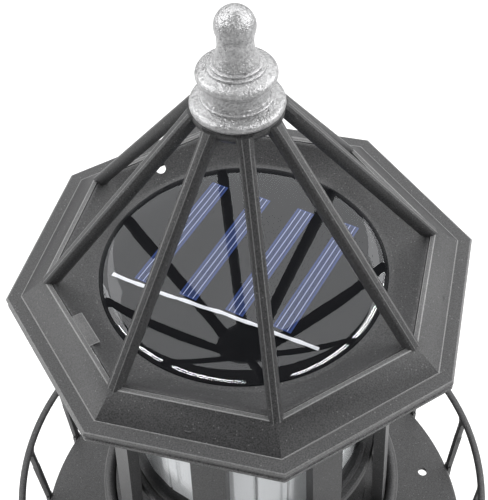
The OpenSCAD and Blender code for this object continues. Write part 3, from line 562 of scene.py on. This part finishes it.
class Form:
    """A mesh under work, in millimetres from the eave's underside."""

    def __init__(self) -> None:
        """Starts empty."""
        self.bm = bmesh.new()
        # Marks faces for a painted highlight, or on the cells for their lighter border.
        self.sheen_and_border = self.bm.faces.layers.float.new(SHEEN_AND_BORDER)

    def lathe(self, outline: Sequence[Point], steps: int = 96, closed: bool = False) -> "Form":
        """Turns an outline of (radius, height) round the Z axis.

        Args:
            outline: The points, which end on the axis unless closed.
            steps: Steps round the axis.
            closed: Whether the last point joins the first.

        Returns:
            This form.
        """
        points = [self.bm.verts.new((r, 0, z)) for r, z in outline]
        edges = [self.bm.edges.new(pair) for pair in zip(points, points[1:])]
        if closed:
            edges.append(self.bm.edges.new((points[-1], points[0])))
        bmesh.ops.spin(self.bm, geom=points + edges, cent=(0, 0, 0), axis=(0, 0, 1), dvec=(0, 0, 0),
                       angle=tau, steps=steps, use_merge=True)
        bmesh.ops.remove_doubles(self.bm, verts=self.bm.verts[:], dist=1e-4)
        return self.tidy()

    def bar(self, section: Sequence[Point], stations: Sequence[Point]) -> "Form":
        """Extrudes a section up the Z axis.

        Args:
            section: The section's outline as (x, y).
            stations: The heights it passes, each with the scale of its y there.

        Returns:
            This form.
        """
        z0, wide = stations[0]
        face = self.bm.faces.new([self.bm.verts.new((x, y * wide, z0)) for x, y in section])
        for z, w in stations[1:]:
            grown = bmesh.ops.extrude_face_region(self.bm, geom=[face])["geom"]
            verts = [g for g in grown if isinstance(g, bmesh.types.BMVert)]
            face = next(g for g in grown if isinstance(g, bmesh.types.BMFace))
            bmesh.ops.translate(self.bm, verts=verts, vec=(0, 0, z - z0))
            bmesh.ops.scale(self.bm, verts=verts, vec=(1, w / wide, 1))
            z0, wide = z, w
        return self.tidy()

    def block(self, size: Sequence[float], at: Sequence[float]) -> "Form":
        """Adds a cuboid of a size, centred at a point."""
        bmesh.ops.create_cube(self.bm, size=1.0, matrix=Matrix.Translation(at) @ Matrix.Diagonal((*size, 1)))
        return self

    def rod(self, radius: float, z0: float, z1: float, at: Point = (0, 0), segments: int = 32) -> "Form":
        """Adds an upright round rod."""
        bmesh.ops.create_cone(self.bm, cap_ends=True, segments=segments, radius1=radius, radius2=radius,
                              depth=z1 - z0, matrix=Matrix.Translation((*at, (z0 + z1) / 2)))
        return self

    def ball(self, radius: float, at: Sequence[float]) -> None:
        """Adds a ball."""
        bmesh.ops.create_uvsphere(self.bm, u_segments=24, v_segments=14, radius=radius,
                                  matrix=Matrix.Translation(at))

    def cut(self, point: Sequence[float], normal: Sequence[float]) -> None:
        """Cuts off what lies beyond a plane, and closes the cut.

        Args:
            point: A point on the plane.
            normal: The plane's normal, on the side that goes.
        """
        geom = self.bm.verts[:] + self.bm.edges[:] + self.bm.faces[:]
        out = bmesh.ops.bisect_plane(self.bm, geom=geom, plane_co=point, plane_no=normal, clear_outer=True)
        edges = [g for g in out["geom_cut"] if isinstance(g, bmesh.types.BMEdge)]
        bmesh.ops.edgeloop_fill(self.bm, edges=edges)
        self.tidy()

    def soften(self, width: float, angle: float = 28.0, segments: int = 2,
               only: "Callable[[bmesh.types.BMEdge], bool] | None" = None, sheen_and_border: float = 0.0) -> "Form":
        """Rounds the edges that turn by more than an angle.

        Args:
            width: The rounding's width in millimetres.
            angle: The least turn, in degrees.
            segments: Steps across the rounding.
            only: A further test that an edge passes.
            sheen_and_border: How much painted highlight the new faces get, from 0 to 1.

        Returns:
            This form.
        """
        edges = [e for e in self.bm.edges if len(e.link_faces) == 2
                 and e.calc_face_angle(0.0) > radians(angle) and (only is None or only(e))]
        made = bmesh.ops.bevel(self.bm, geom=edges, offset=width, offset_type="OFFSET", segments=segments,
                               profile=0.5, affect="EDGES", material=-1, clamp_overlap=True)
        for face in made["faces"]:
            face[self.sheen_and_border] = sheen_and_border
        return self.tidy()

    def paint_highlight(self, where: Callable[[Vector], bool], sheen_and_border: float) -> None:
        """Sets how much painted highlight some faces get.

        Args:
            where: The test that a face's middle passes.
            sheen_and_border: How much painted highlight they get, from 0 to 1.
        """
        for face in self.bm.faces:
            if where(face.calc_center_median()):
                face[self.sheen_and_border] = sheen_and_border

    def move(self, matrix: Matrix) -> "Form":
        """Applies a matrix to the whole form."""
        bmesh.ops.transform(self.bm, matrix=matrix, verts=self.bm.verts[:])
        return self

    def bend(self, rule: Callable[[Vector], Vector]) -> "Form":
        """Moves each point.

        Args:
            rule: Gives a point's new place.

        Returns:
            This form.
        """
        for vert in self.bm.verts:
            vert.co = rule(vert.co)
        return self

    def add(self, other: "Form", matrix: Matrix = Matrix.Identity(4)) -> None:
        """Adds a copy of another form.

        Args:
            other: The form, which stays as it is.
            matrix: Where the copy goes.
        """
        spare = bpy.data.meshes.new("spare")
        other.bm.to_mesh(spare)
        spare.transform(matrix)
        self.bm.from_mesh(spare)
        bpy.data.meshes.remove(spare)

    def round_axis(self, count: int, first: float = 0.0) -> "Form":
        """Repeats the form round the Z axis.

        Args:
            count: How many there are.
            first: The first one's azimuth in degrees.

        Returns:
            A new form.
        """
        ring = Form()
        for i in range(count):
            ring.add(self, turned(first + 360 / count * i))
        return ring

    def tidy(self) -> "Form":
        """Merges doubles, drops slivers and points every face outwards.

        Returns:
            This form.
        """
        bmesh.ops.remove_doubles(self.bm, verts=self.bm.verts[:], dist=1e-5)
        bmesh.ops.dissolve_degenerate(self.bm, edges=self.bm.edges[:], dist=1e-5)
        bmesh.ops.recalc_face_normals(self.bm, faces=self.bm.faces[:])
        return self

    def piece(self, name: str, slot: str, replaces: Iterable[str] = (), sharp: float = 32.0,
              paint: str = "", body: Body = Body.LAMP_HEAD) -> bpy.types.Object:
        """Finishes the form as a piece of the object.

        Args:
            name: The piece's name.
            slot: The record's material slot, which gives its finish.
            replaces: CAD nodes it stands for.
            sharp: Edges that turn by more degrees than this stay sharp in the shading.
            paint: Another finish than the slot's own.
            body: The body it rides on.

        Returns:
            The piece's object, at the origin and unturned.
        """
        self.move(TO_FRAME)
        for face in self.bm.faces:
            face.smooth = True
        for edge in self.bm.edges:
            edge.smooth = len(edge.link_faces) == 2 and edge.calc_face_angle(0.0) < radians(sharp)
        mesh = bpy.data.meshes.new(name)
        self.bm.to_mesh(mesh)
        self.bm.free()
        made = bpy.data.objects.new(name, mesh)
        bpy.context.scene.collection.objects.link(made)
        made.data.materials.append(painted(paint or slot))
        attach(made, body.value)
        if replaces:
            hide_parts(*replaces)
        LOG.info("%s: %d faces, rides on %s", name, len(mesh.polygons), body.value)
        return made


def turned(angle: float) -> Matrix:
    """A turn about the Z axis, in degrees."""
    return Matrix.Rotation(radians(angle), 4, "Z")


def arc(centre: Point, radius: float, start: float, end: float, steps: int) -> list[Point]:
    """Points along an arc, with its angles in degrees."""
    angles = [radians(start + (end - start) * i / steps) for i in range(steps + 1)]
    return [(centre[0] + radius * cos(a), centre[1] + radius * sin(a)) for a in angles]


def octagon(azimuth: float) -> float:
    """The roof octagon's radius at an azimuth in radians, for a circumradius of 1."""
    step = tau / SIDES
    return cos(step / 2) / cos(azimuth % step - step / 2)


def carve(piece: bpy.types.Object, tool: Form) -> None:
    """Cuts a form out of a finished piece for good.

    Args:
        piece: The piece's object.
        tool: What is taken away.
    """
    tool.move(TO_FRAME)
    mesh = bpy.data.meshes.new("tool")
    tool.tidy().bm.to_mesh(mesh)
    tool.bm.free()
    cutter = bpy.data.objects.new("tool", mesh)
    bpy.context.scene.collection.objects.link(cutter)
    bite = piece.modifiers.new("Cut", "BOOLEAN")
    bite.operation = "DIFFERENCE"
    bite.solver = "EXACT"
    bite.object = cutter
    graph = bpy.context.evaluated_depsgraph_get()
    cut = bpy.data.meshes.new_from_object(piece.evaluated_get(graph))
    piece.modifiers.clear()
    piece.data = cut
    bpy.data.objects.remove(cutter)
    bpy.data.meshes.remove(mesh)


# ---- roof


@dataclass
class Roof:
    """The open eight-ribbed roof: eave, rim, ribs, hub, catch tab and finial."""

    eave_r: float = 78.0
    crease_r: float = 72.9
    rim_out_r: float = 64.6
    rim_in_r: float = 63.0
    rim_h: float = 8.2
    edge_h: float = 1.5
    hub_r: float = 13.3
    hub_top: float = 70.4
    rib_w: float = 4.4
    rib_depth: float = 4.4
    rib_head: Point = (13.5, 71.0)
    tab_angle: float = 202.5
    tab_w: float = 13.4
    tab_reach: float = 4.0
    tab_t: float = 1.15
    pip_angle: float = 225.0
    pip_r: float = 0.75
    pip_at: Point = (61.9, 8.3)
    boss_angle: float = 67.5
    boss_at: float = 63.2
    boss_r: float = 2.6
    boss_h: float = 3.4
    ball_z: float = 96.7
    ball_r: float = 5.73

    def corner_r(self, at: Vector) -> float:
        """Circumradius of the octagon that passes through a point."""
        return hypot(at.x, at.y) / octagon(atan2(at.y, at.x))

    def eave(self) -> None:
        """The eave's slopes with their rim, a fine bead at the crease and rounded edges, with painted
        highlights on the rim, the bead and the edges.
        """
        outline = [
            (self.rim_in_r, self.edge_h), (self.rim_in_r, self.rim_h), (self.rim_out_r, self.rim_h),
            (self.crease_r - 0.2, self.edge_h + 0.3), (self.crease_r, self.edge_h + 0.32),
            (self.crease_r + 0.2, self.edge_h + 0.02), (self.eave_r, self.edge_h), (self.eave_r, 0.0),
            (71.6, 0.0), (65.4, 5.0), (65.4, self.edge_h)]
        form = Form().lathe(outline, SIDES, closed=True)
        rim = self.rim_h - 0.1
        # Painted highlights: the rim's top, the crease bead and the rounded edges of rim and eave are
        # lightened.
        form.paint_highlight(lambda at: at.z > rim, 0.2)
        form.paint_highlight(lambda at: at.z < 2 and abs(self.corner_r(at) - self.crease_r) < 0.5, 0.75)
        form.soften(0.22, 30, 3, lambda e: all(v.co.z > rim for v in e.verts), 0.75)
        form.soften(0.7, 60, 4, lambda e: all(hypot(v.co.x, v.co.y) > self.eave_r * 0.999
                                              and v.co.z > 1 for v in e.verts), 0.45)
        form.piece("roof_eave", "dark_plastic", ["roof_cage"], sharp=24)

    def ribs(self) -> None:
        """The ribs, flat on top with a chamfer down each side, from the rim's corners to the hub, with a
        painted highlight along their top edges.
        """
        half, deep = self.rib_w / 2, self.rib_depth
        side = [(0.0, half * 0.42), (-0.45, half * 0.8), (-1.3, half), (-deep * 0.8, half * 0.92),
                (-deep, half * 0.66)]
        section = [(x, -y) for x, y in reversed(side)] + side
        run = self.rim_out_r - self.rib_head[0]
        rise = self.rib_head[1] - self.rim_h
        length = hypot(run, rise)
        rib = Form().bar(section, [(-6, 1.08), (1.0, 1.05), (2.6, 1.0), (length * 0.5, 0.98),
                                   (length - 6, 1.02), (length - 1.5, 1.16), (length + 2, 1.4)])
        # Painted highlight on the rounded top edges of each rib.
        rib.soften(0.16, 20, 2, lambda e: abs((e.verts[0].co - e.verts[1].co).normalized().z) > 0.9
                   and max(v.co.x for v in e.verts) > -0.1, 0.4)
        rib.move(Matrix.Translation((self.rim_out_r, 0, self.rim_h))
                 @ Matrix.Rotation(atan2(rise, run) - pi / 2, 4, "Y"))
        rib.cut((0, 0, self.rim_h - 0.35), (0, 0, -1))
        rib.cut((0, 0, self.hub_top - 0.3), (0, 0, 1))
        rib.cut((4.0, 0, 0), (-1, 0, 0))
        rib.round_axis(SIDES).piece("roof_ribs", "dark_plastic")

    def hub(self) -> None:
        """The hub under the finial, scalloped between the ribs below."""
        outline = [(0, 62.0), (5.6, 62.0), (8.6, 63.2), (10.9, 65.4), (12.4, 66.9), (13.1, 67.6),
                   (self.hub_r, 68.2), (self.hub_r, 69.9), (self.hub_r - 0.25, 70.3), (12.7, self.hub_top),
                   (0, self.hub_top)]
        form = Form().lathe(outline)

        def scallop(at: Vector) -> Vector:
            """Lifts the lower edge between the ribs.

            Args:
                at: A point of the turned hub.

            Returns:
                Its place.
            """
            out = hypot(at.x, at.y)
            if out < 7 or at.z > 69:
                return at
            wave = 0.5 - 0.5 * cos(atan2(at.y, at.x) * SIDES)
            return Vector((at.x, at.y, at.z + 0.7 * wave * min(1.0, (out - 7) / 4)))

        form.bend(scallop).piece("roof_hub", "dark_plastic", sharp=50)

    def catch(self) -> None:
        """The catch tab on the rim's inner side, with painted highlights on its top and edges, a moulding pip
        and the bosses under the rim.
        """
        middle = self.rim_in_r * cos(pi / SIDES) + 0.6 - self.tab_reach / 2
        tab = Form().block((self.tab_reach, self.tab_w, self.tab_t), (middle, 0.6, self.rim_h - 0.6))
        # Painted highlight on the tab's top and its rounded edges.
        tab.paint_highlight(lambda at: at.z > self.rim_h - 0.1, 0.22)
        tab.soften(0.3, 30, 2, sheen_and_border=0.7)
        tab.move(turned(self.tab_angle))
        tab.ball(self.pip_r, turned(self.pip_angle) @ Vector((self.pip_at[0], 0, self.pip_at[1])))
        bosses = Form().rod(self.boss_r, 0.0, self.boss_h, (self.boss_at, 0)).round_axis(4, self.boss_angle)
        tab.add(bosses)
        tab.piece("roof_catch", "dark_plastic")

    def finial(self) -> None:
        """The turned finial in silver paint."""
        outline = [(0, 63.5), (2.95, 63.5), (2.95, 70.3), (12.6, 70.4)]
        outline += arc((11.9, 71.9), 1.7, -60, 80, 10) + [(10.75, 73.85)]
        outline += arc((10.0, 74.45), 0.6, -50, 90, 6)
        outline += [(9.4, 75.15), (9.12, 75.6), (9.05, 76.6), (9.15, 78.0), (9.5, 79.3), (9.75, 79.8)]
        outline += arc((9.7, 81.75), 1.75, -75, 85, 12) + [(8.7, 83.85), (8.35, 83.95)]
        outline += arc((7.9, 84.35), 0.45, -30, 90, 5) + [(7.35, 84.85)]
        outline += arc((6.95, 85.2), 0.42, -30, 90, 5)
        outline += [(6.45, 85.68), (6.35, 86.2), (6.05, 87.0), (5.4, 88.8), (5.1, 90.6), (5.05, 92.0),
                    (5.1, 93.2)]
        outline += arc((0, self.ball_z), self.ball_r, -27, 90, 22)
        Form().lathe(outline, 128).piece("finial_turning", "silver_paint", ["finial"], sharp=48)

    def build(self) -> None:
        """Builds every piece of the roof."""
        self.eave()
        self.ribs()
        self.hub()
        self.catch()
        self.finial()


# ---- solar panel


@dataclass
class SolarPanel:
    """The dished tray with its resin-domed solar panel."""

    rim_r: float = 62.75
    edge_z: float = 7.0
    land: float = 0.6
    rows: int = 10
    first_ring: float = 60.0
    last_ring: float = 80.0
    dish_t: float = 0.9
    dish_bow: float = 1.15
    disc_r: float = 47.7
    floor_z: float = 1.0
    land_z: float = 1.4
    drain_angle: float = 115.0
    drain_at: float = 54.3
    drain_r: float = 2.1
    cell_size: Point = (51.0, 6.3)
    cell_pitch: float = 16.4
    cell_stagger: float = 1.2
    cell_turn: float = 52.5
    cells_at: Point = (2.7, 5.65)
    cell_z: float = 2.3
    cell_t: float = 0.2
    cell_border: float = 0.75
    line_w: float = 0.2
    line_pitch: float = 1.85
    seal_r: float = 2.6
    ribbon_size: Point = (73.3, 1.3)
    ribbon_at: Point = (-12.6, -17.0)
    ribbon_turn: float = -33.7
    ribbon_steps: int = 36
    ribbon_t: float = 0.18
    dome_z: float = 6.8
    dome_sag: float = 1100.0

    def tray(self) -> None:
        """The dish that rises from the round well to the eight-sided rim.

        It is turned with flat rings from first_ring on, which dish() then carries to their places.
        """
        well = self.disc_r + 0.55
        foot = well + 0.6
        outline = [(0, self.floor_z), (well, self.floor_z), (well, self.land_z), (foot, self.land_z)]
        outline += [(self.first_ring + i, 0) for i in range(self.rows + 1)] + [(self.last_ring, 0)]
        form = Form().lathe(outline)

        def dish(at: Vector) -> Vector:
            """Carries the outer rings out to the rim.

            Args:
                at: A point of the turned shape.

            Returns:
                Its place.
            """
            out, azimuth = hypot(at.x, at.y), atan2(at.y, at.x)
            if out < self.first_ring - 0.5:
                return at
            end = (self.rim_r - self.land) * octagon(azimuth)
            share = min(1.0, (out - self.first_ring + 1) / (self.rows + 1))
            r = foot + (end - foot) * share
            z = self.land_z + (self.edge_z - self.land_z) * share ** self.dish_bow
            if out > self.last_ring - 0.5:
                r, z = self.rim_r * octagon(azimuth), self.edge_z
            return Vector((r * cos(azimuth), r * sin(azimuth), z))

        form.bend(dish)
        bmesh.ops.solidify(form.bm, geom=form.bm.faces[:], thickness=self.dish_t)
        form.tidy()
        made = form.piece("solar_dish", "dark_plastic", ["solar_tray"], sharp=40)
        angle = radians(self.drain_angle)
        at = (self.drain_at * cos(angle), self.drain_at * sin(angle))
        carve(made, Form().rod(self.drain_r, -3, 9, at, 40))
        made.data.materials.clear()
        made.data.materials.append(painted("dark_plastic"))

    def strips(self) -> None:
        """The four cells, with three fine printed lines along each, and the seal round the wires."""
        frame_at = Matrix.Translation((*self.cells_at, 0)) @ turned(self.cell_turn)
        cells, lines = Form(), Form()
        long, wide = self.cell_size
        for i in (-1.5, -0.5, 0.5, 1.5):
            at = (-i * self.cell_stagger, i * self.cell_pitch)
            cells.block((long, wide, self.cell_t), (*at, self.cell_z + self.cell_t / 2))
            for side in (-self.line_pitch, 0.0, self.line_pitch):
                lines.block((long - 0.4, self.line_w, 0.06), (at[0], at[1] + side, self.cell_z + 0.22))
        top = [f for f in cells.bm.faces if f.normal.z > 0.9]
        border = bmesh.ops.inset_individual(cells.bm, faces=top, thickness=self.cell_border)
        for face in border["faces"]:
            face[cells.sheen_and_border] = 1.0
        cells.move(frame_at).piece("cell_strips", "panel_cells", ["solar_cells"])
        lines.move(frame_at).piece("cell_lines", "tinned_copper", paint="printed_lines")
        seal = Form().rod(self.seal_r, self.cell_z - 0.02, self.cell_z + 0.04)
        seal.piece("wire_seal", "panel_black")

    def ribbon(self) -> None:
        """The tinned ribbon across the cells' ends, laid by hand and so not quite straight."""
        long, wide = self.ribbon_size
        x, y = self.ribbon_t / 2, wide / 2
        steps = self.ribbon_steps
        form = Form().bar([(-x, -y), (x, -y), (x, y), (-x, y)],
                          [(-long / 2 + long * i / steps, 1.0) for i in range(steps + 1)])

        def waver(at: Vector) -> Vector:
            """Kinks the ribbon a little, lets it swell at its joints and lays it down.

            Args:
                at: A point of the straight upright ribbon.

            Returns:
                Its place.
            """
            swell = 1.0 + 0.22 * sin(at.z * 0.9) * sin(at.z * 0.23 + 1.1)
            side = 0.28 * sin(at.z * 0.13 + 0.6) + 0.12 * sin(at.z * 0.47)
            return Vector((at.z, at.y * swell + side, at.x + 0.05 * sin(at.z * 0.6)))

        form.bend(waver)
        place = Matrix.Translation((*self.ribbon_at, self.cell_z + 0.42)) @ turned(self.ribbon_turn)
        form.move(place).tidy().piece("tinned_ribbon", "tinned_copper", ["cell_ribbon"])

    def dome(self) -> None:
        """The cast resin with its low dome and round shoulder."""
        top = [(r, self.dome_z - r * r / self.dome_sag) for r in (0, 8, 16, 24, 30, 35, 38)]
        shoulder = [(40.2, 5.28), (42.2, 5.04), (43.9, 4.74), (45.3, 4.36), (46.4, 3.82), (47.2, 3.1),
                    (47.65, 2.3), (47.85, 1.7), (47.85, 1.3)]
        skirt = [(47.84, 1.16), (47.8, 1.1), (47.76, 1.16), (47.75, 1.4), (47.75, 2.2), (47.7, 2.34),
                 (47.5, 2.36), (0, 2.36)]
        form = Form().lathe(top + shoulder + skirt, 64)
        made = form.piece("panel_resin", "clear_resin", ["solar_dome"], sharp=80)
        smooth = made.modifiers.new("Smooth", "SUBSURF")
        smooth.levels = smooth.render_levels = 2

    def build(self) -> None:
        """Builds every piece of the panel."""
        self.tray()
        self.strips()
        self.ribbon()
        self.dome()


# ---- gallery railing


@dataclass
class Railing:
    """The railing's top: its round handrail and the post heads that flare into it."""

    posts: int = 18
    first: float = 5.4
    post_w: float = 2.6
    rail_r: float = 97.1
    bar: float = 1.5
    rail_z: float = -128.5
    head_z: float = -147.2
    foot_z: float = -164.7
    flare: float = 3.2
    wall_foot: Point = (94.5, 96.6)
    wall_head: Point = (96.0, 98.2)

    def post_head(self) -> Form:
        """One post's upper length, with a small round flare on both sides under the handrail.

        Returns:
            The post head, at azimuth 0.
        """
        half, top = self.post_w / 2, self.rail_z - self.bar + 0.5
        side = [(half, self.head_z)] + arc((half + self.flare, top - self.flare), self.flare, 180, 90, 6)
        side += [(half + self.flare, self.rail_z - 0.4)]
        outline = side + [(-x, z) for x, z in reversed(side)]
        outwards = Matrix(((0, 0, 1, 0), (1, 0, 0, 0), (0, 1, 0, 0), (0, 0, 0, 1)))
        form = Form().bar(outline, [(0, 1), (1, 1)]).move(outwards)

        def lean(at: Vector) -> Vector:
            """Carries the flat shape to the posts' inner and outer faces at its height.

            Args:
                at: A point of the flat shape.

            Returns:
                Its place.
            """
            share = (at.z - self.foot_z) / (self.rail_z - self.foot_z)
            side_at = 1 if at.x > 0.5 else 0
            r = self.wall_foot[side_at] + (self.wall_head[side_at] - self.wall_foot[side_at]) * share
            return Vector((sqrt(r * r - at.y * at.y), at.y, at.z))

        return form.bend(lean).tidy()

    def build(self) -> None:
        """Builds the handrail with its post heads."""
        form = Form().lathe(arc((self.rail_r, self.rail_z), self.bar, 0, 345, 24), 128, closed=True)
        # Painted highlight on the post heads' rounded edges.
        form.add(self.post_head().soften(0.3, 40, 2, sheen_and_border=0.3).round_axis(self.posts, self.first))
        form.piece("railing_top", "dark_plastic", ["railing_hoop"], sharp=40, body=Body.TOWER)


# ---- kept CAD nodes


class Edge(Enum):
    """How wide a kept node's edges are eased, in millimetres."""

    FINE = 0.15
    SOFT = 0.3
    ROUND = 0.5


@dataclass
class KeptNodes:
    """Dresses the CAD nodes that stay: a finish each, welded corners, and eased edges, which on dark plastic
    carry a painted highlight.
    """

    crease: float = 35.0
    weld: float = 2e-6
    eased: dict[Edge, tuple[str, ...]] = field(default_factory=lambda: {
        Edge.ROUND: ("soffit_plate",),
        Edge.SOFT: ("lantern_cage", "corbel", "plinth", "door_frame", "base_plate"),
        Edge.FINE: ("gallery_deck", "parapet", "railing_posts", "window_frames", "door_leaf", "beacon_drum",
                    "lamp_base", "battery_cover", "lamp_floor", "filling_plug", "switch_slider"),
    })

    def dress(self, name: str, node: bpy.types.Object, slot: str) -> None:
        """Gives one node its finish and edges.

        Args:
            name: The node's name.
            node: Its object.
            slot: The record's material slot for it.
        """
        node.data.materials.clear()
        node.data.materials.append(painted(slot))
        weld = node.modifiers.new("Weld", "WELD")
        weld.merge_threshold = self.weld
        ease = next((edge for edge, names in self.eased.items() if name in names), None)
        if ease:
            # Dark plastic nodes get the lighter finish on their bevel faces: a painted highlight on the eased
            # edges.
            if slot == "dark_plastic":
                node.data.materials.append(painted(SHEEN_AND_BORDER))
            bevel = node.modifiers.new("Ease", "BEVEL")
            bevel.material = len(node.data.materials) - 1
            bevel.limit_method = "ANGLE"
            bevel.angle_limit = radians(self.crease)
            bevel.width = ease.value * MM
            bevel.segments = 2
        split = node.modifiers.new("Crisp", "EDGE_SPLIT")
        split.split_angle = radians(self.crease)
        split.use_edge_sharp = False

    def build(self) -> None:
        """Dresses every node that is still shown."""
        slots = {part["node"]: part["material_slot"] for part in frame["record"]["subparts"]}
        for name, node in frame["nodes"].items():
            if not node.hide_render:
                self.dress(name, node, slots[name])
        LOG.info("kept nodes dressed")


# ---- studio


@dataclass(frozen=True)
class SoftBox:
    """One rectangular studio light, aimed at the eave's middle."""

    name: str
    azimuth: float
    elevation: float
    size: Point
    radiance: float
    distance: float = 1.3

    def build(self) -> bpy.types.Object:
        """Hangs the light.

        Returns:
            Its object.
        """
        a, e = radians(self.azimuth), radians(self.elevation)
        back = Vector((cos(a) * cos(e), sin(a) * cos(e), sin(e)))
        data = bpy.data.lights.new(self.name, "AREA")
        data.shape = "RECTANGLE"
        data.size, data.size_y = self.size
        data.energy = self.radiance * pi * self.size[0] * self.size[1]
        lamp = bpy.data.objects.new(self.name, data)
        lamp.location = Vector((0, 0, EAVE)) + back * self.distance
        lamp.rotation_mode = "QUATERNION"
        lamp.rotation_quaternion = (-back).to_track_quat("-Z", "Y")
        bpy.context.scene.collection.objects.link(lamp)
        return lamp


@dataclass
class Studio:
    """The pale floor, the plain soft light and the camera at the photograph's angle."""

    camera_at: Triple = (-25.93, -213.55, 246.30)
    right: Triple = (0.98876, -0.14767, -0.02344)
    down: Triple = (-0.12481, -0.72879, -0.67326)
    forward: Triple = (0.08234, 0.66862, -0.73904)
    lens: float = 70.98
    fill: float = 0.12
    wall: float = 0.8
    floor_half: float = 6.0
    room: tuple[SoftBox, ...] = (
        SoftBox("back_panel", 83, 52, (1.9, 1.5), 2.4, 1.5),
        SoftBox("left_panel", 163, 28, (1.1, 1.0), 4.4),
        SoftBox("right_panel", 10, 28, (1.1, 1.0), 4.3),
        SoftBox("front_right_fill", 317, 34, (0.8, 0.5), 3.2, 1.4),
    )
    resin_glints: tuple[SoftBox, ...] = (
        SoftBox("left_shoulder", 129, 34, (0.55, 0.75), 2.5),
        SoftBox("right_shoulder", 41, 28, (0.55, 0.75), 2.35),
        SoftBox("left_glint_high", 214, 54, (1.7, 0.13), 40.0),
        SoftBox("left_glint_low", 212, 40, (2.3, 0.1), 40.0),
        SoftBox("right_glint_high", 336, 45, (1.7, 0.13), 40.0),
        SoftBox("right_glint_low", 338, 31, (2.3, 0.1), 40.0),
    )
    finial_glints: tuple[SoftBox, ...] = (
        SoftBox("finial_left", 170, 56, (0.5, 0.5), 5.0),
        SoftBox("finial_right", 328, 42, (0.5, 0.5), 5.0),
        SoftBox("finial_front", 262, 42, (1.0, 0.3), 3.0),
    )

    def camera(self) -> None:
        """Places the camera."""
        data = bpy.data.cameras.new("photo_camera")
        data.sensor_fit, data.sensor_width, data.lens = "AUTO", 36.0, self.lens
        data.clip_start, data.clip_end = 0.005, 50.0
        made = bpy.data.objects.new("photo_camera", data)
        x, y, z = Vector(self.right), -Vector(self.down), -Vector(self.forward)
        turn = Matrix((x, y, z)).transposed().to_4x4()
        made.matrix_world = Matrix.Translation((self.camera_at[0] * MM, self.camera_at[1] * MM,
                                                EAVE + self.camera_at[2] * MM)) @ turn
        bpy.context.scene.collection.objects.link(made)
        bpy.context.scene.camera = made

    def floor(self) -> None:
        """Lays the floor."""
        bm = bmesh.new()
        bmesh.ops.create_grid(bm, x_segments=1, y_segments=1, size=self.floor_half)
        mesh = bpy.data.meshes.new("studio_floor")
        bm.to_mesh(mesh)
        bm.free()
        mesh.materials.append(PaleFloor("Studio floor", "floor").make())
        made = bpy.data.objects.new("studio_floor", mesh)
        bpy.context.scene.collection.objects.link(made)

    def sky(self) -> None:
        """Fills the shadows evenly, in front of a pale wall."""
        world = bpy.data.worlds.new("studio")
        world.use_nodes = True
        tree = world.node_tree
        light = tree.nodes["Background"]
        pale = tree.nodes.new("ShaderNodeBackground")
        for ground, strength in ((light, self.fill), (pale, self.wall)):
            ground.inputs["Color"].default_value = (1.0, 1.0, 1.0, 1.0)
            ground.inputs["Strength"].default_value = strength
        rays = tree.nodes.new("ShaderNodeLightPath")
        mix = tree.nodes.new("ShaderNodeMixShader")
        tree.links.new(rays.outputs["Is Camera Ray"], mix.inputs[0])
        tree.links.new(light.outputs[0], mix.inputs[1])
        tree.links.new(pale.outputs[0], mix.inputs[2])
        tree.links.new(mix.outputs[0], tree.nodes["World Output"].inputs["Surface"])
        bpy.context.scene.world = world

    def lights(self) -> None:
        """Hangs the lights; the glints reach one piece alone."""
        for box in self.room:
            box.build()
        for name, glints in (("panel_resin", self.resin_glints), ("finial_turning", self.finial_glints)):
            lit = bpy.data.collections.new("lit_" + name)
            lit.objects.link(bpy.data.objects[name])
            for box in glints:
                box.build().light_linking.receiver_collection = lit

    def build(self) -> None:
        """Sets up the studio."""
        self.floor()
        self.sky()
        self.lights()
        self.camera()
        bpy.context.scene.view_settings.view_transform = "Standard"


def main() -> None:
    """Builds the object and the studio round it."""
    logging.basicConfig(level=logging.INFO, format="%(name)s: %(message)s")
    Roof().build()
    SolarPanel().build()
    Railing().build()
    KeptNodes().build()
    Studio().build()


if __name__ == "__main__":
    main()
